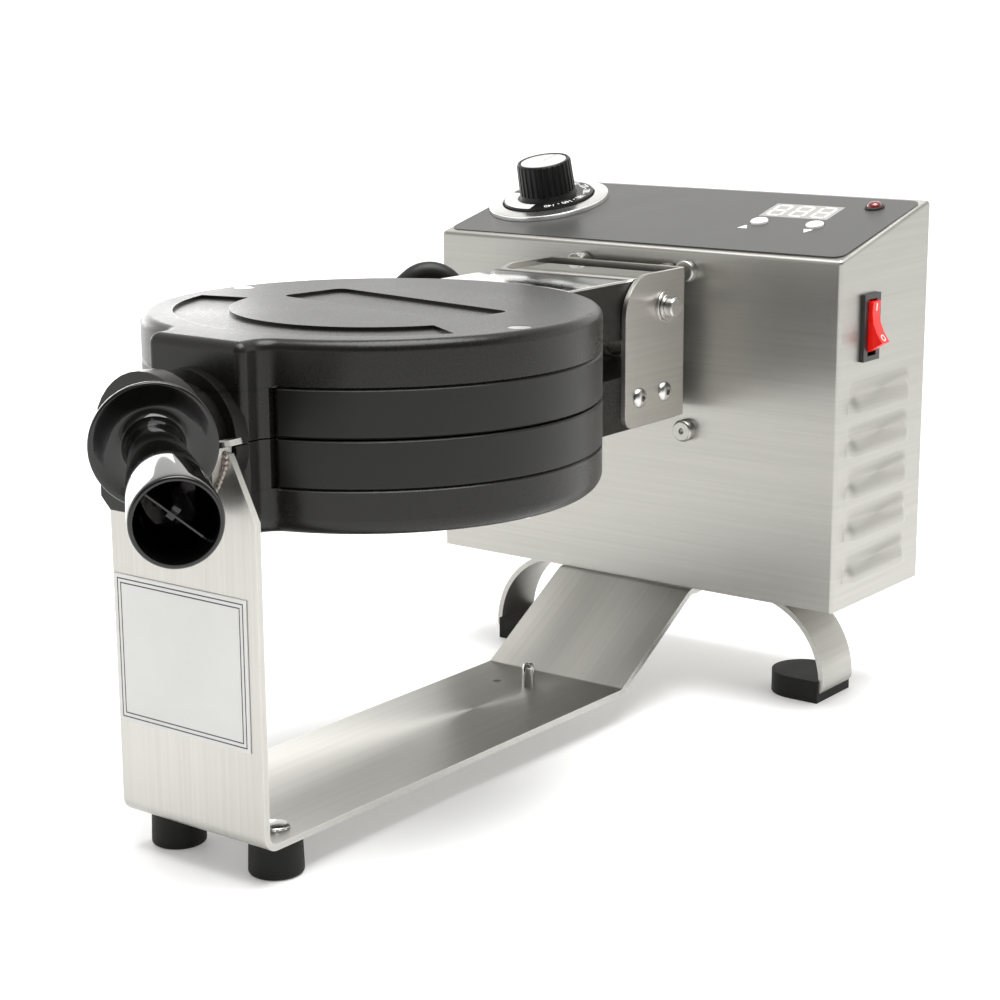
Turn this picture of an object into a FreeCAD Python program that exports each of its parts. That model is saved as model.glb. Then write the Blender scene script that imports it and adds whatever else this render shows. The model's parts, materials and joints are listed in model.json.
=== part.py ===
import FreeCAD, Part
import math
import os
import re
import Sketcher
from FreeCAD import Placement, Rotation, Vector

# Rotary waffle baker. Millimetres, +Z up, front towards -Y, floor at Z 0.
doc = FreeCAD.newDocument("rotary_waffle_baker")
sheet = doc.addObject("Spreadsheet::Sheet", "Sizes")

SIZES = {
    "box_width": 240,
    "box_depth": 89,
    "box_front_height": 171.5,
    "box_back_height": 193,
    "box_bottom": 56,
    "box_front": 168,
    "box_sheet": 1.2,
    "box_round": 2,
    "strip_width": 81,
    "strip_sheet": 3,
    "strip_ramp": 63,
    "strip_lip": 1.4,
    "strip_tongue": 60,
    "bend_inner": 4,
    "foot_height": 16,
    "foot_radius": 11.7,
    "foot_spread": 28,
    "foot_inset": 19.2,
    "upright_drop": 2.5,
    "upright_inset": 3.7,
    "axis_height": 180.5,
    "head_reach": 198,
    "head_radius": 99.2,
    "plate_thick": 19.9,
    "cover_thick": 19,
    "parting_gap": 0.6,
    "cover_wall": 6,
    "cover_roof": 5,
    "pocket_deep": 1.4,
    "top_round": 4.5,
    "under_round": 7,
    "block_half": 26,
    "block_proud": 10.3,
    "block_blend": 8,
    "band_end": 28,
    "well_margin": 10,
    "well_depth": 9.5,
    "stud_drop": 2.6,
    "stud_pitch": 17,
    "stud_base": 11.5,
    "stud_top": 8,
    "boss_radius": 27.5,
    "boss_thick": 5,
    "side_gap": 1,
    "neck_radius": 22.5,
    "saddle_gap": 1,
    "saddle_sheet": 2.5,
    "saddle_width": 11.5,
    "saddle_ear": 8,
    "flange_radius": 29.5,
    "flange_half": 27,
    "flange_thick": 8,
    "handle_x": 23.1,
    "handle_out": 18.5,
    "handle_rise": 7.3,
    "handle_yaw": 50,
    "handle_pitch": 3.4,
    "handle_length": 105,
    "handle_collar": 24.5,
    "handle_neck": 10.2,
    "handle_end": 16.3,
    "hinge_reach": 30,
    "hinge_rise": 23,
    "trim_rise": 15.4,
    "trim_back": 10,
    "lug_radius": 11.5,
    "pin_radius": 5,
    "pin_out": 7,
    "bush_radius": 7.5,
    "arm_gap": 0.4,
    "arm_blend": 10,
    "arm_low": 10.5,
    "lower_arm_top": 7.5,
    "lower_arm_deep": 33.5,
    "trim_thick": 1.2,
    "bracket_half": 41,
    "bracket_sheet": 2.5,
    "bracket_gap": 10.3,
    "bracket_top": 40,
    "bracket_low": 32.5,
    "ear_length": 53.2,
    "ear_round": 20,
    "shaft_radius": 12,
    "shaft_bore": 7,
    "flange_disc": 26,
    "stub_radius": 5.5,
    "stub_proud": 5,
    "stop_x": 35.3,
    "stop_up": 36.7,
    "stop_down": 43,
    "stud_x": 25.3,
    "stud_up": 35.6,
    "stud_left": 26.4,
    "stud_left_up": 38,
    "leg_sheet": 3,
    "leg_width": 30,
    "leg_middle": 40,
    "leg_spread": 103,
    "leg_arch": 44,
    "leg_curl": 5,
    "pad_height": 11.5,
    "panel_thick": 0.6,
    "dial_x": -86,
    "dial_along": 52.5,
    "bezel_radius": 32.4,
    "skirt_radius": 24.2,
    "skirt_top": 5,
    "knob_radius": 15,
    "knob_height": 19.2,
    "window_x": 63.3,
    "window_along": 63.3,
    "window_wide": 39.5,
    "window_deep": 20.3,
    "button_left": 50,
    "button_right": 81.5,
    "button_along": 43.7,
    "button_radius": 4.6,
    "lamp_x": 98.3,
    "lamp_along": 74.6,
    "rocker_y": 27.75,
    "rocker_up": 137.25,
    "rocker_tilt": 15,
    "louvre_pitch": 21,
    "louvre_out": 3.6,
    "gland_x": -70,
    "gland_up": 24,
    "gland_bore": 4.3,
}
for row, alias in enumerate(SIZES, 1):
    sheet.set(f"A{row}", alias.replace("_", " "))
    sheet.set(f"B{row}", str(SIZES[alias]))
    sheet.setAlias(f"B{row}", alias)
doc.recompute()


def formula(text):
    """Turn the words of a size formula into sheet cells."""
    def cell(found):
        word = found.group()
        return f"Sizes.{word}" if word in SIZES else word
    return re.sub(r"[a-z][a-z_]*", cell, str(text))


def value(text):
    return float(sheet.evalExpression(str(text)))


def bind(thing, path, text):
    thing.setExpression(path, formula(text))


def block(name, x, y, z):
    made = doc.addObject("Part::Box", name)
    for side, axis, span in (("Length", "x", x), ("Width", "y", y), ("Height", "z", z)):
        bind(made, side, f"({span[1]})-({span[0]})")
        bind(made, f"Placement.Base.{axis}", span[0])
    return made


TURN = {
    "x": Rotation(Vector(0, 1, 0), 90),
    "y": Rotation(Vector(1, 0, 0), -90),
    "z": Rotation(),
}


def rod(name, radius, axis, at, span):
    """Cylinder along an axis; at holds the other two coordinates in x, y, z order."""
    made = doc.addObject("Part::Cylinder", name)
    made.Placement = Placement(Vector(), TURN[axis])
    bind(made, "Radius", radius)
    bind(made, "Height", f"({span[1]})-({span[0]})")
    others = [word for word in "xyz" if word != axis]
    bind(made, f"Placement.Base.{axis}", span[0])
    for word, text in zip(others, at):
        bind(made, f"Placement.Base.{word}", text)
    return made


def join(name, *pieces):
    made = doc.addObject("Part::MultiFuse", name)
    made.Shapes = list(pieces)
    made.Refine = True
    doc.recompute()
    return made


def group(name, *pieces):
    made = doc.addObject("Part::Compound", name)
    made.Links = list(pieces)
    return made


def cut(name, base, *tools):
    made = doc.addObject("Part::Cut", name)
    made.Base = base
    made.Tool = tools[0] if len(tools) == 1 else group(name + "_tools", *tools)
    made.Refine = True
    doc.recompute()
    return made


def common(name, first, second):
    made = doc.addObject("Part::Common", name)
    made.Base = first
    made.Tool = second
    doc.recompute()
    return made


def ring(name, outer, inner, axis, at, span):
    wide = rod(name + "_outer", outer, axis, at, span)
    hole = rod(name + "_hole", inner, axis, at, (f"({span[0]})-1", f"({span[1]})+1"))
    return cut(name, wide, hole)


def rounded(name, base, radius, chosen):
    """Part::Fillet on the edges for which chosen(edge) is true."""
    doc.recompute()
    size = value(radius)
    picked = [(i, size, size) for i, edge in enumerate(base.Shape.Edges, 1) if chosen(edge)]
    made = doc.addObject("Part::Fillet", name)
    made.Base = base
    made.Edges = picked
    doc.recompute()
    return made


def sketch_on(body, role, points, start="0"):
    plane = [item for item in body.Origin.OriginFeatures if item.Role == role][0]
    sketch = body.newObject("Sketcher::SketchObject", body.Name + "_sketch")
    sketch.AttachmentSupport = [(plane, "")]
    sketch.MapMode = "FlatFace"
    bind(sketch, "AttachmentOffset.Base.z", start)
    at = [Vector(value(a), value(b), 0) for a, b in points]
    count = len(points)
    for i in range(count):
        sketch.addGeometry(Part.LineSegment(at[i], at[(i + 1) % count]), False)
    for i in range(count):
        sketch.addConstraint(Sketcher.Constraint("Coincident", i, 2, (i + 1) % count, 1))
    for i, (a, b) in enumerate(points):
        for kind, text, now in (("DistanceX", a, at[i].x), ("DistanceY", b, at[i].y)):
            index = sketch.addConstraint(Sketcher.Constraint(kind, -1, 1, i, 1, now))
            bind(sketch, f"Constraints[{index}]", text)
    return sketch


def prism(name, role, points, start, length):
    """Body padded from an outline; XZ outlines grow towards -Y, YZ outlines towards +X."""
    body = doc.addObject("PartDesign::Body", name)
    sketch = sketch_on(body, role, points, start)
    pad = body.newObject("PartDesign::Pad", name + "_pad")
    pad.Profile = sketch
    bind(pad, "Length", length)
    body.Tip = pad
    doc.recompute()
    return body


def turned(name, points):
    """Body turned about Z from (radius, height) points."""
    body = doc.addObject("PartDesign::Body", name)
    sketch = sketch_on(body, "XZ_Plane", points)
    spun = body.newObject("PartDesign::Revolution", name + "_spun")
    spun.Profile = sketch
    spun.ReferenceAxis = (sketch, ["V_Axis"])
    spun.Angle = 360
    body.Tip = spun
    doc.recompute()
    return body


def bend_edges(body, radius, near):
    """Round the long edges of a bent strip whose end lies near one of the (y, z) places."""
    places = [(value(a), value(b)) for a, b in near]
    names = []
    for i, edge in enumerate(body.Tip.Shape.Edges, 1):
        a, b = edge.Vertexes[0].Point, edge.Vertexes[-1].Point
        if abs(a.y - b.y) > 0.01 or abs(a.z - b.z) > 0.01:
            continue
        if any(math.hypot(a.y - y, a.z - z) < 0.05 for y, z in places):
            names.append(f"Edge{i}")
    below = body.Tip
    soft = body.newObject("PartDesign::Fillet", body.Name + f"_bend_{len(body.Group)}")
    soft.Base = (below, names)
    bind(soft, "Radius", radius)
    body.Tip = soft
    doc.recompute()


def set_at(thing, base, turn=None):
    thing.Placement = Placement(Vector(), turn or Rotation())
    for word, text in zip("xyz", base):
        bind(thing, f"Placement.Base.{word}", text)
    return thing


def placed(name, thing, base, turn):
    return set_at(group(name, thing), base, turn)


NODES = []


def node(thing, name):
    thing.Label = name
    NODES.append(thing)
    return thing


# Places used by several pieces, as formulas.
BF = "box_front"
BB = "(box_front+box_depth)"
SLOPE = "((box_back_height-box_front_height)/box_depth)"
STRETCH = f"sqrt(1+{SLOPE}*{SLOPE})"
ALONG = f"(box_depth*{STRETCH})"
HEAD_Y = "(box_front-head_reach)"
UP0 = "(axis_height+parting_gap/2)"
UP1 = f"({UP0}+plate_thick)"
UP2 = f"({UP1}+cover_thick)"
LO0 = "(axis_height-parting_gap/2)"
LO1 = f"({LO0}-plate_thick)"
LO2 = f"({LO1}-cover_thick)"
BLOCK_Y = f"({HEAD_Y}-head_radius-block_proud)"
BOSS_Y = f"({BLOCK_Y}-boss_thick)"
SADDLE_BACK = f"({BOSS_Y}-side_gap)"
SADDLE_FRONT = f"({SADDLE_BACK}-saddle_width)"
FLANGE_BACK = f"({SADDLE_FRONT}-side_gap)"
FLANGE_FRONT = f"({FLANGE_BACK}-flange_thick)"
UPRIGHT_Y = f"({SADDLE_BACK}-upright_inset)"
SADDLE_R = "(neck_radius+saddle_gap)"
NOTCH_R = f"({SADDLE_R}+saddle_sheet)"
HINGE_Y = "(box_front-hinge_reach)"
HINGE_Z = "(axis_height+hinge_rise)"
BRACKET_BACK = "(box_front-bracket_gap)"
BRACKET_FRONT = f"({BRACKET_BACK}-bracket_sheet)"
EAR_IN = "(bracket_half-bracket_sheet)"
ARM_HALF = f"({EAR_IN}-arm_gap)"
SHEET_TOP = "(foot_height+strip_sheet)"
LEG_TOP = "(box_bottom-strip_sheet)"
WALL = "(box_width/2-box_sheet)"
HALF_BOX = "(box_width/2)"


def on_panel(name, thing):
    """Carry a piece made flat (x across, y up the slope, z out) onto the sloping panel."""
    made = group(name, thing)
    made.Placement = Placement(Vector(), Rotation(Vector(1, 0, 0), math.degrees(math.atan(value(SLOPE)))))
    bind(made, "Placement.Base.y", BF)
    bind(made, "Placement.Base.z", "box_bottom+box_front_height")
    bind(made, "Placement.Rotation.Angle", f"atan({SLOPE})")
    return made


# Control box: one folded shell, open below and behind.
def box_outline(front, back, low, drop):
    roof = "box_bottom+box_front_height"
    top_front = f"{roof}+({front}-{BF})*{SLOPE}-({drop})"
    top_back = f"{roof}+({back}-{BF})*{SLOPE}-({drop})"
    return [(front, low), (back, low), (back, top_back), (front, top_front)]


shell = prism("box_shell", "YZ_Plane", box_outline(BF, BB, "box_bottom", "0"), f"-{HALF_BOX}", "box_width")
folds = []
for i, edge in enumerate(shell.Tip.Shape.Edges, 1):
    middle = edge.CenterOfMass
    if abs(middle.z - value("box_bottom")) > 0.1 and abs(middle.y - value(BB)) > 0.1:
        folds.append(f"Edge{i}")
below = shell.Tip
soft = shell.newObject("PartDesign::Fillet", "box_folds")
soft.Base = (below, folds)
bind(soft, "Radius", "box_round")
shell.Tip = soft
doc.recompute()

hollow = prism(
    "box_hollow",
    "YZ_Plane",
    box_outline(f"({BF}+box_sheet)", f"({BB}+5)", "box_bottom-5", f"box_sheet*{STRETCH}"),
    f"-{WALL}",
    "box_width-2*box_sheet",
)
inner_folds = []
for i, edge in enumerate(hollow.Tip.Shape.Edges, 1):
    middle = edge.CenterOfMass
    if middle.z > value("box_bottom") and middle.y < value(BB):
        inner_folds.append(f"Edge{i}")
below = hollow.Tip
soft = hollow.newObject("PartDesign::Fillet", "hollow_folds")
soft.Base = (below, inner_folds)
bind(soft, "Radius", "box_round-box_sheet")
hollow.Tip = soft
doc.recompute()

hoods = []
vents = []
for step in range(5):
    low = f"box_bottom+12.5+{step}*louvre_pitch"
    for side, sign in (("right", ""), ("left", "-")):
        out = f"{sign}({HALF_BOX}+louvre_out)"
        face = f"{sign}{HALF_BOX}"
        back = f"{sign}({HALF_BOX}-0.8)"
        hood_line = [(back, f"{low}+16.5"), (face, f"{low}+16.5"), (out, f"{low}+2.5"), (out, low), (back, low)]
        gap_out = f"{sign}({HALF_BOX}+louvre_out-1.2)"
        gap_in = f"{sign}({HALF_BOX}-3)"
        gap_line = [
            (gap_in, f"{low}+11.5"),
            (face, f"{low}+11.5"),
            (gap_out, f"{low}+1.5"),
            (gap_out, f"{low}-1"),
            (gap_in, f"{low}-1"),
        ]
        if side == "right":
            hood_line.reverse()
            gap_line.reverse()
        hoods.append(prism(f"hood_{side}_{step}", "XZ_Plane", hood_line, f"-({BF}+73)", "63"))
        vents.append(prism(f"vent_{side}_{step}", "XZ_Plane", gap_line, f"-({BF}+71.8)", "60.6"))

PIVOT_X = f"({HALF_BOX}-3.6)"
ROCKER_Y = f"({BF}+rocker_y)"
ROCKER_Z = "(box_bottom+rocker_up)"
switch_hole = block(
    "switch_hole",
    (f"{WALL}-5", f"{HALF_BOX}+5"),
    (f"{ROCKER_Y}-6.6", f"{ROCKER_Y}+6.6"),
    (f"{ROCKER_Z}-15", f"{ROCKER_Z}+15"),
)
shaft_hole = rod("shaft_hole", "shaft_radius+4", "y", ("0", "axis_height"), (f"{BF}-5", f"{BF}+5"))
dial_hole = rod("dial_hole", "5.5", "z", ("dial_x", "dial_along"), ("-6", "6"))
lamp_hole = rod("lamp_hole", "4.2", "z", ("lamp_x", "lamp_along"), ("-6", "6"))
left_hole = rod("left_hole", "button_radius+0.3", "z", ("button_left", "button_along"), ("-6", "6"))
right_hole = rod("right_hole", "button_radius+0.3", "z", ("button_right", "button_along"), ("-6", "6"))
window_hole = block(
    "window_hole",
    ("window_x-window_wide/2", "window_x+window_wide/2"),
    ("window_along-window_deep/2", "window_along+window_deep/2"),
    ("-6", "6"),
)
panel_holes = group("panel_holes", dial_hole, lamp_hole, left_hole, right_hole, window_hole)
stud_holes = []
for i, (sx, sz) in enumerate(((1, 1), (1, -1), (-1, 1), (-1, -1))):
    place = (f"{sx}*(shaft_radius+11)*0.7071", f"axis_height+{sz}*(shaft_radius+11)*0.7071")
    stud_holes.append(rod(f"bearing_hole_{i}", "2", "y", place, (f"{BF}-5", f"{BF}+5")))
walls = cut("box_walls", shell, hollow)
hooded = join("box_hooded", walls, *hoods)
control_box = cut(
    "control_box_body",
    hooded,
    group("vent_set", *vents),
    switch_hole,
    shaft_hole,
    on_panel("panel_holes_set", panel_holes),
    group("stud_hole_set", *stud_holes),
)
node(control_box, "control_box")

# Rear and bottom panels, screws and cord gland.
GLAND_Z = "(box_bottom+gland_up)"
rear = block(
    "rear_sheet",
    (f"-({WALL}-0.2)", f"{WALL}-0.2"),
    (f"{BB}-box_sheet", BB),
    ("box_bottom", f"box_bottom+box_back_height-box_sheet*{STRETCH}-0.5"),
)
slots = []
for i in range(7):
    low = f"box_bottom+70+{i}*11"
    slots.append(block(f"rear_slot_{i}", ("-45", "45"), (f"{BB}-5", f"{BB}+5"), (low, f"{low}+4")))
gland_hole = rod("gland_hole", "8", "y", ("gland_x", GLAND_Z), (f"{BB}-5", f"{BB}+5"))
screw_places = []
for sx in (-1, 1):
    for up in ("10", "box_back_height/2", "box_back_height-14"):
        screw_places.append((f"{sx}*({WALL}-8)", f"box_bottom+{up}"))
screw_holes = []
screws = []
for i, place in enumerate(screw_places):
    screw_holes.append(rod(f"rear_hole_{i}", "1.6", "y", place, (f"{BB}-5", f"{BB}+5")))
    shank = rod(f"rear_shank_{i}", "1.6", "y", place, (f"{BB}-9", f"{BB}+0.5"))
    head = rod(f"rear_head_{i}", "3.4", "y", place, (BB, f"{BB}+2"))
    screws.append(join(f"rear_screw_{i}", shank, head))
node(cut("rear_panel_body", rear, gland_hole, *slots, *screw_holes), "rear_panel")
node(group("rear_screw_set", *screws), "rear_panel_screws")

gland = turned(
    "cord_gland_body",
    [
        ("gland_bore", "-12"),
        ("8", "-12"),
        ("8", "0"),
        ("11.5", "0"),
        ("11.5", "3"),
        ("9", "4"),
        ("8.2", "8"),
        ("gland_bore", "8"),
    ],
)
set_at(gland, ("gland_x", BB, GLAND_Z), TURN["y"])
node(gland, "cord_gland")

BOLTS = (("-30", "14", LEG_TOP), ("30", "14", LEG_TOP))
LEG_LOW = f"({LEG_TOP}-leg_sheet)"
BOLTS = BOLTS + (("-30", "leg_middle", LEG_LOW), ("30", "leg_middle", LEG_LOW))
floor_sheet = block(
    "floor_sheet",
    (f"-({WALL}-0.2)", f"{WALL}-0.2"),
    (f"{BF}+box_sheet+0.2", f"{BB}-box_sheet-0.3"),
    ("box_bottom", "box_bottom+box_sheet"),
)
bolt_holes = []
bolts = []
for i, (bx, by, under) in enumerate(BOLTS):
    place = (bx, f"{BF}+{by}")
    bolt_holes.append(rod(f"bolt_hole_{i}", "3", "z", place, ("box_bottom-10", "box_bottom+10")))
    head = rod(f"bolt_head_{i}", "5", "z", place, (f"{under}-3.5", under))
    shank = rod(f"bolt_shank_{i}", "3", "z", place, (f"{under}-1", "box_bottom+box_sheet+8"))
    nut = rod(f"bolt_nut_{i}", "5.6", "z", place, ("box_bottom+box_sheet", "box_bottom+box_sheet+5"))
    bolts.append(join(f"arm_bolt_{i}", head, shank, nut))
node(cut("bottom_panel_body", floor_sheet, *bolt_holes), "bottom_panel")
node(group("arm_bolt_set", *bolts), "arm_bolts")

# Support arm: one bent strip from under the box to the notched upright.
RAMP_Y = f"({BF}-strip_ramp)"
LIP_Y = f"({BF}-strip_lip)"
RISE = f"({LEG_TOP}-foot_height)"
RUN = "(strip_ramp-strip_lip)"
MITRE = f"(strip_sheet*(sqrt({RUN}*{RUN}+{RISE}*{RISE})-{RUN})/{RISE})"
UPRIGHT_TOP = "(axis_height-upright_drop)"
strip_line = [
    (UPRIGHT_Y, UPRIGHT_TOP),
    (UPRIGHT_Y, "foot_height"),
    (RAMP_Y, "foot_height"),
    (LIP_Y, LEG_TOP),
    (f"{BF}+strip_tongue", LEG_TOP),
    (f"{BF}+strip_tongue", "box_bottom"),
    (f"{LIP_Y}-{MITRE}", "box_bottom"),
    (f"{RAMP_Y}-{MITRE}", SHEET_TOP),
    (f"{UPRIGHT_Y}+strip_sheet", SHEET_TOP),
    (f"{UPRIGHT_Y}+strip_sheet", UPRIGHT_TOP),
]
strip = prism("arm_strip", "YZ_Plane", strip_line, "-strip_width/2", "strip_width")
bend_edges(strip, "bend_inner", [strip_line[3], strip_line[7], strip_line[8]])
bend_edges(strip, "bend_inner+strip_sheet", [strip_line[1], strip_line[2], strip_line[6]])
corners = []
for side, sign in (("right", ""), ("left", "-")):
    line = [
        (f"{sign}(strip_width/2-14)", f"{UPRIGHT_TOP}+2"),
        (f"{sign}(strip_width/2+1)", f"{UPRIGHT_TOP}+2"),
        (f"{sign}(strip_width/2+1)", f"{UPRIGHT_TOP}-28"),
    ]
    corners.append(prism(f"corner_{side}", "XZ_Plane", line, f"-({UPRIGHT_Y}+10)", "20"))
notch = rod("notch", NOTCH_R, "y", ("0", "axis_height"), (f"{UPRIGHT_Y}-9", f"{UPRIGHT_Y}+9"))
FOOT_Y = f"({UPRIGHT_Y}+foot_inset)"
foot_holes = []
for i, sign in enumerate(("-", "")):
    foot_holes.append(rod(f"foot_hole_{i}", "2.5", "z", (f"{sign}foot_spread", FOOT_Y), ("5", "30")))
pin_hole = rod("pin_hole", "2.8", "z", ("0", f"{BF}-86"), ("5", "30"))
small_hole = rod("small_hole", "2", "z", ("-17", f"{BF}-88.5"), ("5", "30"))
arm = cut(
    "support_arm_body",
    strip,
    notch,
    pin_hole,
    small_hole,
    *corners,
    *foot_holes,
    *bolt_holes,
)
node(arm, "support_arm")

tray_pin = turned(
    "tray_pin_body",
    [
        ("0", "0"),
        ("2.8", "0"),
        ("2.8", "strip_sheet"),
        ("3", "strip_sheet"),
        ("3", "strip_sheet+9.5"),
        ("2.2", "strip_sheet+11.5"),
        ("0", "strip_sheet+12"),
    ],
)
set_at(tray_pin, ("0", f"{BF}-86", "foot_height"))
node(tray_pin, "tray_pin")

label = block(
    "upright_plate_body",
    ("-39.6", "34.6"),
    (f"{UPRIGHT_Y}-0.5", UPRIGHT_Y),
    ("foot_height+41.5", "foot_height+104.7"),
)
node(label, "upright_plate")

# Saddle: half ring with flared ears, welded in the notch.
saddle_ring = ring(
    "saddle_ring", NOTCH_R, SADDLE_R, "y", ("0", "axis_height"), (SADDLE_FRONT, SADDLE_BACK)
)
saddle_keep = block(
    "saddle_keep",
    ("-60", "60"),
    (f"{SADDLE_FRONT}-5", f"{SADDLE_BACK}+5"),
    ("axis_height-60", "axis_height"),
)
saddle_bits = [common("saddle_half", saddle_ring, saddle_keep)]
for i, sign in enumerate((1, -1)):
    low = SADDLE_R if sign > 0 else f"-{NOTCH_R}"
    high = NOTCH_R if sign > 0 else f"-{SADDLE_R}"
    saddle_bits.append(
        block(
            f"saddle_wall_{i}", (low, high), (SADDLE_FRONT, SADDLE_BACK), ("axis_height", "axis_height+2")
        )
    )
    low = SADDLE_R if sign > 0 else f"-({NOTCH_R}+saddle_ear)"
    high = f"{NOTCH_R}+saddle_ear" if sign > 0 else f"-{SADDLE_R}"
    saddle_bits.append(
        block(
            f"saddle_ear_{i}",
            (low, high),
            (SADDLE_FRONT, SADDLE_BACK),
            ("axis_height+2", "axis_height+2+saddle_sheet"),
        )
    )
node(join("saddle_body", *saddle_bits), "saddle")

# Front feet and their screws.
feet = []
foot_screws = []
for i, sign in enumerate(("-", "")):
    foot = turned(
        f"foot_{i}",
        [
            ("0", "0"),
            ("foot_radius-1", "0"),
            ("foot_radius", "1"),
            ("foot_radius-0.5", "foot_height"),
            ("2.5", "foot_height"),
            ("2.5", "5"),
            ("0", "5"),
        ],
    )
    set_at(foot, (f"{sign}foot_spread", FOOT_Y, "0"))
    feet.append(foot)
    screw = turned(
        f"foot_screw_{i}",
        [
            ("0", "6"),
            ("2.5", "6"),
            ("2.5", SHEET_TOP),
            ("6.2", SHEET_TOP),
            ("6", f"{SHEET_TOP}+1"),
            ("4.8", f"{SHEET_TOP}+1.9"),
            ("2.6", f"{SHEET_TOP}+2.3"),
            ("0", f"{SHEET_TOP}+2.4"),
        ],
    )
    set_at(screw, (f"{sign}foot_spread", FOOT_Y, "0"))
    foot_screws.append(screw)
node(group("foot_set", *feet), "front_feet")
node(group("foot_screw_set", *foot_screws), "front_foot_screws")

# Rear bow leg and its slip-on pads.
LEG_A = f"({BF}+leg_middle-leg_width/2)"
LEG_B = f"({BF}+leg_middle+leg_width/2)"
ARCH_X = "(leg_spread-leg_arch)"
ARCH_Z = f"({LEG_TOP}-leg_arch)"
CURL_X = "(leg_spread-leg_curl)"
CURL_LOW = f"({ARCH_Z}-leg_curl)"
leg_bits = [block("leg_flat", (f"-{ARCH_X}", ARCH_X), (LEG_A, LEG_B), (LEG_LOW, LEG_TOP))]
pads = []
for i, sign in enumerate((1, -1)):
    mark = "" if sign > 0 else "-"
    place = (f"{mark}{ARCH_X}", ARCH_Z)
    arch = ring(f"leg_arch_{i}", "leg_arch", "leg_arch-leg_sheet", "y", place, (LEG_A, LEG_B))
    span = (f"{mark}{ARCH_X}", f"{mark}(leg_spread+5)") if sign > 0 else ("-(leg_spread+5)", f"-{ARCH_X}")
    keep = block(f"arch_keep_{i}", span, (f"{LEG_A}-5", f"{LEG_B}+5"), (ARCH_Z, f"{LEG_TOP}+5"))
    bowed = common(f"arch_{i}", arch, keep)
    place = (f"{mark}{CURL_X}", ARCH_Z)
    curl = ring(f"leg_curl_{i}", "leg_curl", "leg_curl-leg_sheet", "y", place, (LEG_A, LEG_B))
    span = (CURL_X, "leg_spread+5") if sign > 0 else ("-(leg_spread+5)", f"-{CURL_X}")
    keep = block(f"curl_keep_{i}", span, (f"{LEG_A}-5", f"{LEG_B}+5"), (f"{CURL_LOW}-5", ARCH_Z))
    turned_in = common(f"curl_{i}", curl, keep)
    leg_bits += [bowed, turned_in]
    span = (f"{CURL_X}-17", CURL_X) if sign > 0 else (f"-{CURL_X}", f"-({CURL_X}-17)")
    leg_bits.append(block(f"leg_toe_{i}", span, (LEG_A, LEG_B), (CURL_LOW, f"{CURL_LOW}+leg_sheet")))
    slot = block(f"pad_slot_{i}", span, (LEG_A, LEG_B), (CURL_LOW, f"{CURL_LOW}+leg_sheet"))
    span = (f"{CURL_X}-14", f"{CURL_X}+2.5") if sign > 0 else (f"-({CURL_X}+2.5)", f"-({CURL_X}-14)")
    square = block(f"pad_square_{i}", span, (f"{LEG_A}-2", f"{LEG_B}+2"), ("0", "pad_height"))
    nose = rod(
        f"pad_nose_{i}", "leg_width/2+2", "z", (f"{mark}({CURL_X}-14)", f"{BF}+leg_middle"), ("0", "pad_height")
    )
    span = (f"{CURL_X}-60", f"{CURL_X}-14") if sign > 0 else (f"-({CURL_X}-14)", f"-({CURL_X}-60)")
    keep = block(f"nose_keep_{i}", span, (f"{LEG_A}-20", f"{LEG_B}+20"), ("-5", "pad_height+5"))
    body = join(f"pad_body_{i}", square, common(f"pad_half_{i}", nose, keep))
    pads.append(cut(f"pad_{i}", body, slot, turned_in, bowed))
leg = cut("rear_leg_body", join("leg_strip", *leg_bits), bolt_holes[2], bolt_holes[3])
node(leg, "rear_leg")
node(group("pad_set", *pads), "rear_foot_pads")

# Stop stubs on the box, bearing inside it.
stubs = []
for i, place in enumerate((("stop_x", "axis_height+stop_up"), ("stop_x", "axis_height-stop_down"))):
    stub = turned(
        f"stub_{i}",
        [
            ("0", "0"),
            ("stub_radius", "0"),
            ("stub_radius", "stub_proud-0.8"),
            ("stub_radius-0.8", "stub_proud"),
            ("1.3", "stub_proud"),
            ("1.3", "stub_proud-1"),
            ("0", "stub_proud-1.4"),
        ],
    )
    set_at(stub, (place[0], BF, place[1]), Rotation(Vector(1, 0, 0), 90))
    stubs.append(stub)
node(group("stub_set", *stubs), "stop_stubs")

INSIDE = f"({BF}+box_sheet)"
BUSH_END = f"({INSIDE}+45)"
bush_flange = rod("bush_flange", "shaft_radius+16", "y", ("0", "axis_height"), (INSIDE, f"{INSIDE}+6"))
bush_sleeve = rod("bush_sleeve", "shaft_radius+6", "y", ("0", "axis_height"), (f"{INSIDE}+3", BUSH_END))
bush_bore = rod("bush_bore", "shaft_radius+0.05", "y", ("0", "axis_height"), (f"{INSIDE}-5", f"{BUSH_END}+5"))
bush_holes = []
nuts = []
for i, (sx, sz) in enumerate(((1, 1), (1, -1), (-1, 1), (-1, -1))):
    place = (f"{sx}*(shaft_radius+11)*0.7071", f"axis_height+{sz}*(shaft_radius+11)*0.7071")
    bush_holes.append(rod(f"bush_hole_{i}", "2", "y", place, (f"{INSIDE}-5", f"{INSIDE}+12")))
    stud = rod(f"weld_stud_{i}", "2", "y", place, (BF, f"{INSIDE}+11"))
    nut = rod(f"weld_nut_{i}", "3.8", "y", place, (f"{INSIDE}+6", f"{INSIDE}+9.5"))
    nuts.append(join(f"bearing_stud_{i}", stud, nut))
bush_block = join("bush_block", bush_flange, bush_sleeve)
node(cut("shaft_bearing_body", bush_block, bush_bore, *bush_holes), "shaft_bearing")
node(group("bearing_stud_set", *nuts), "bearing_studs")

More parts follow.
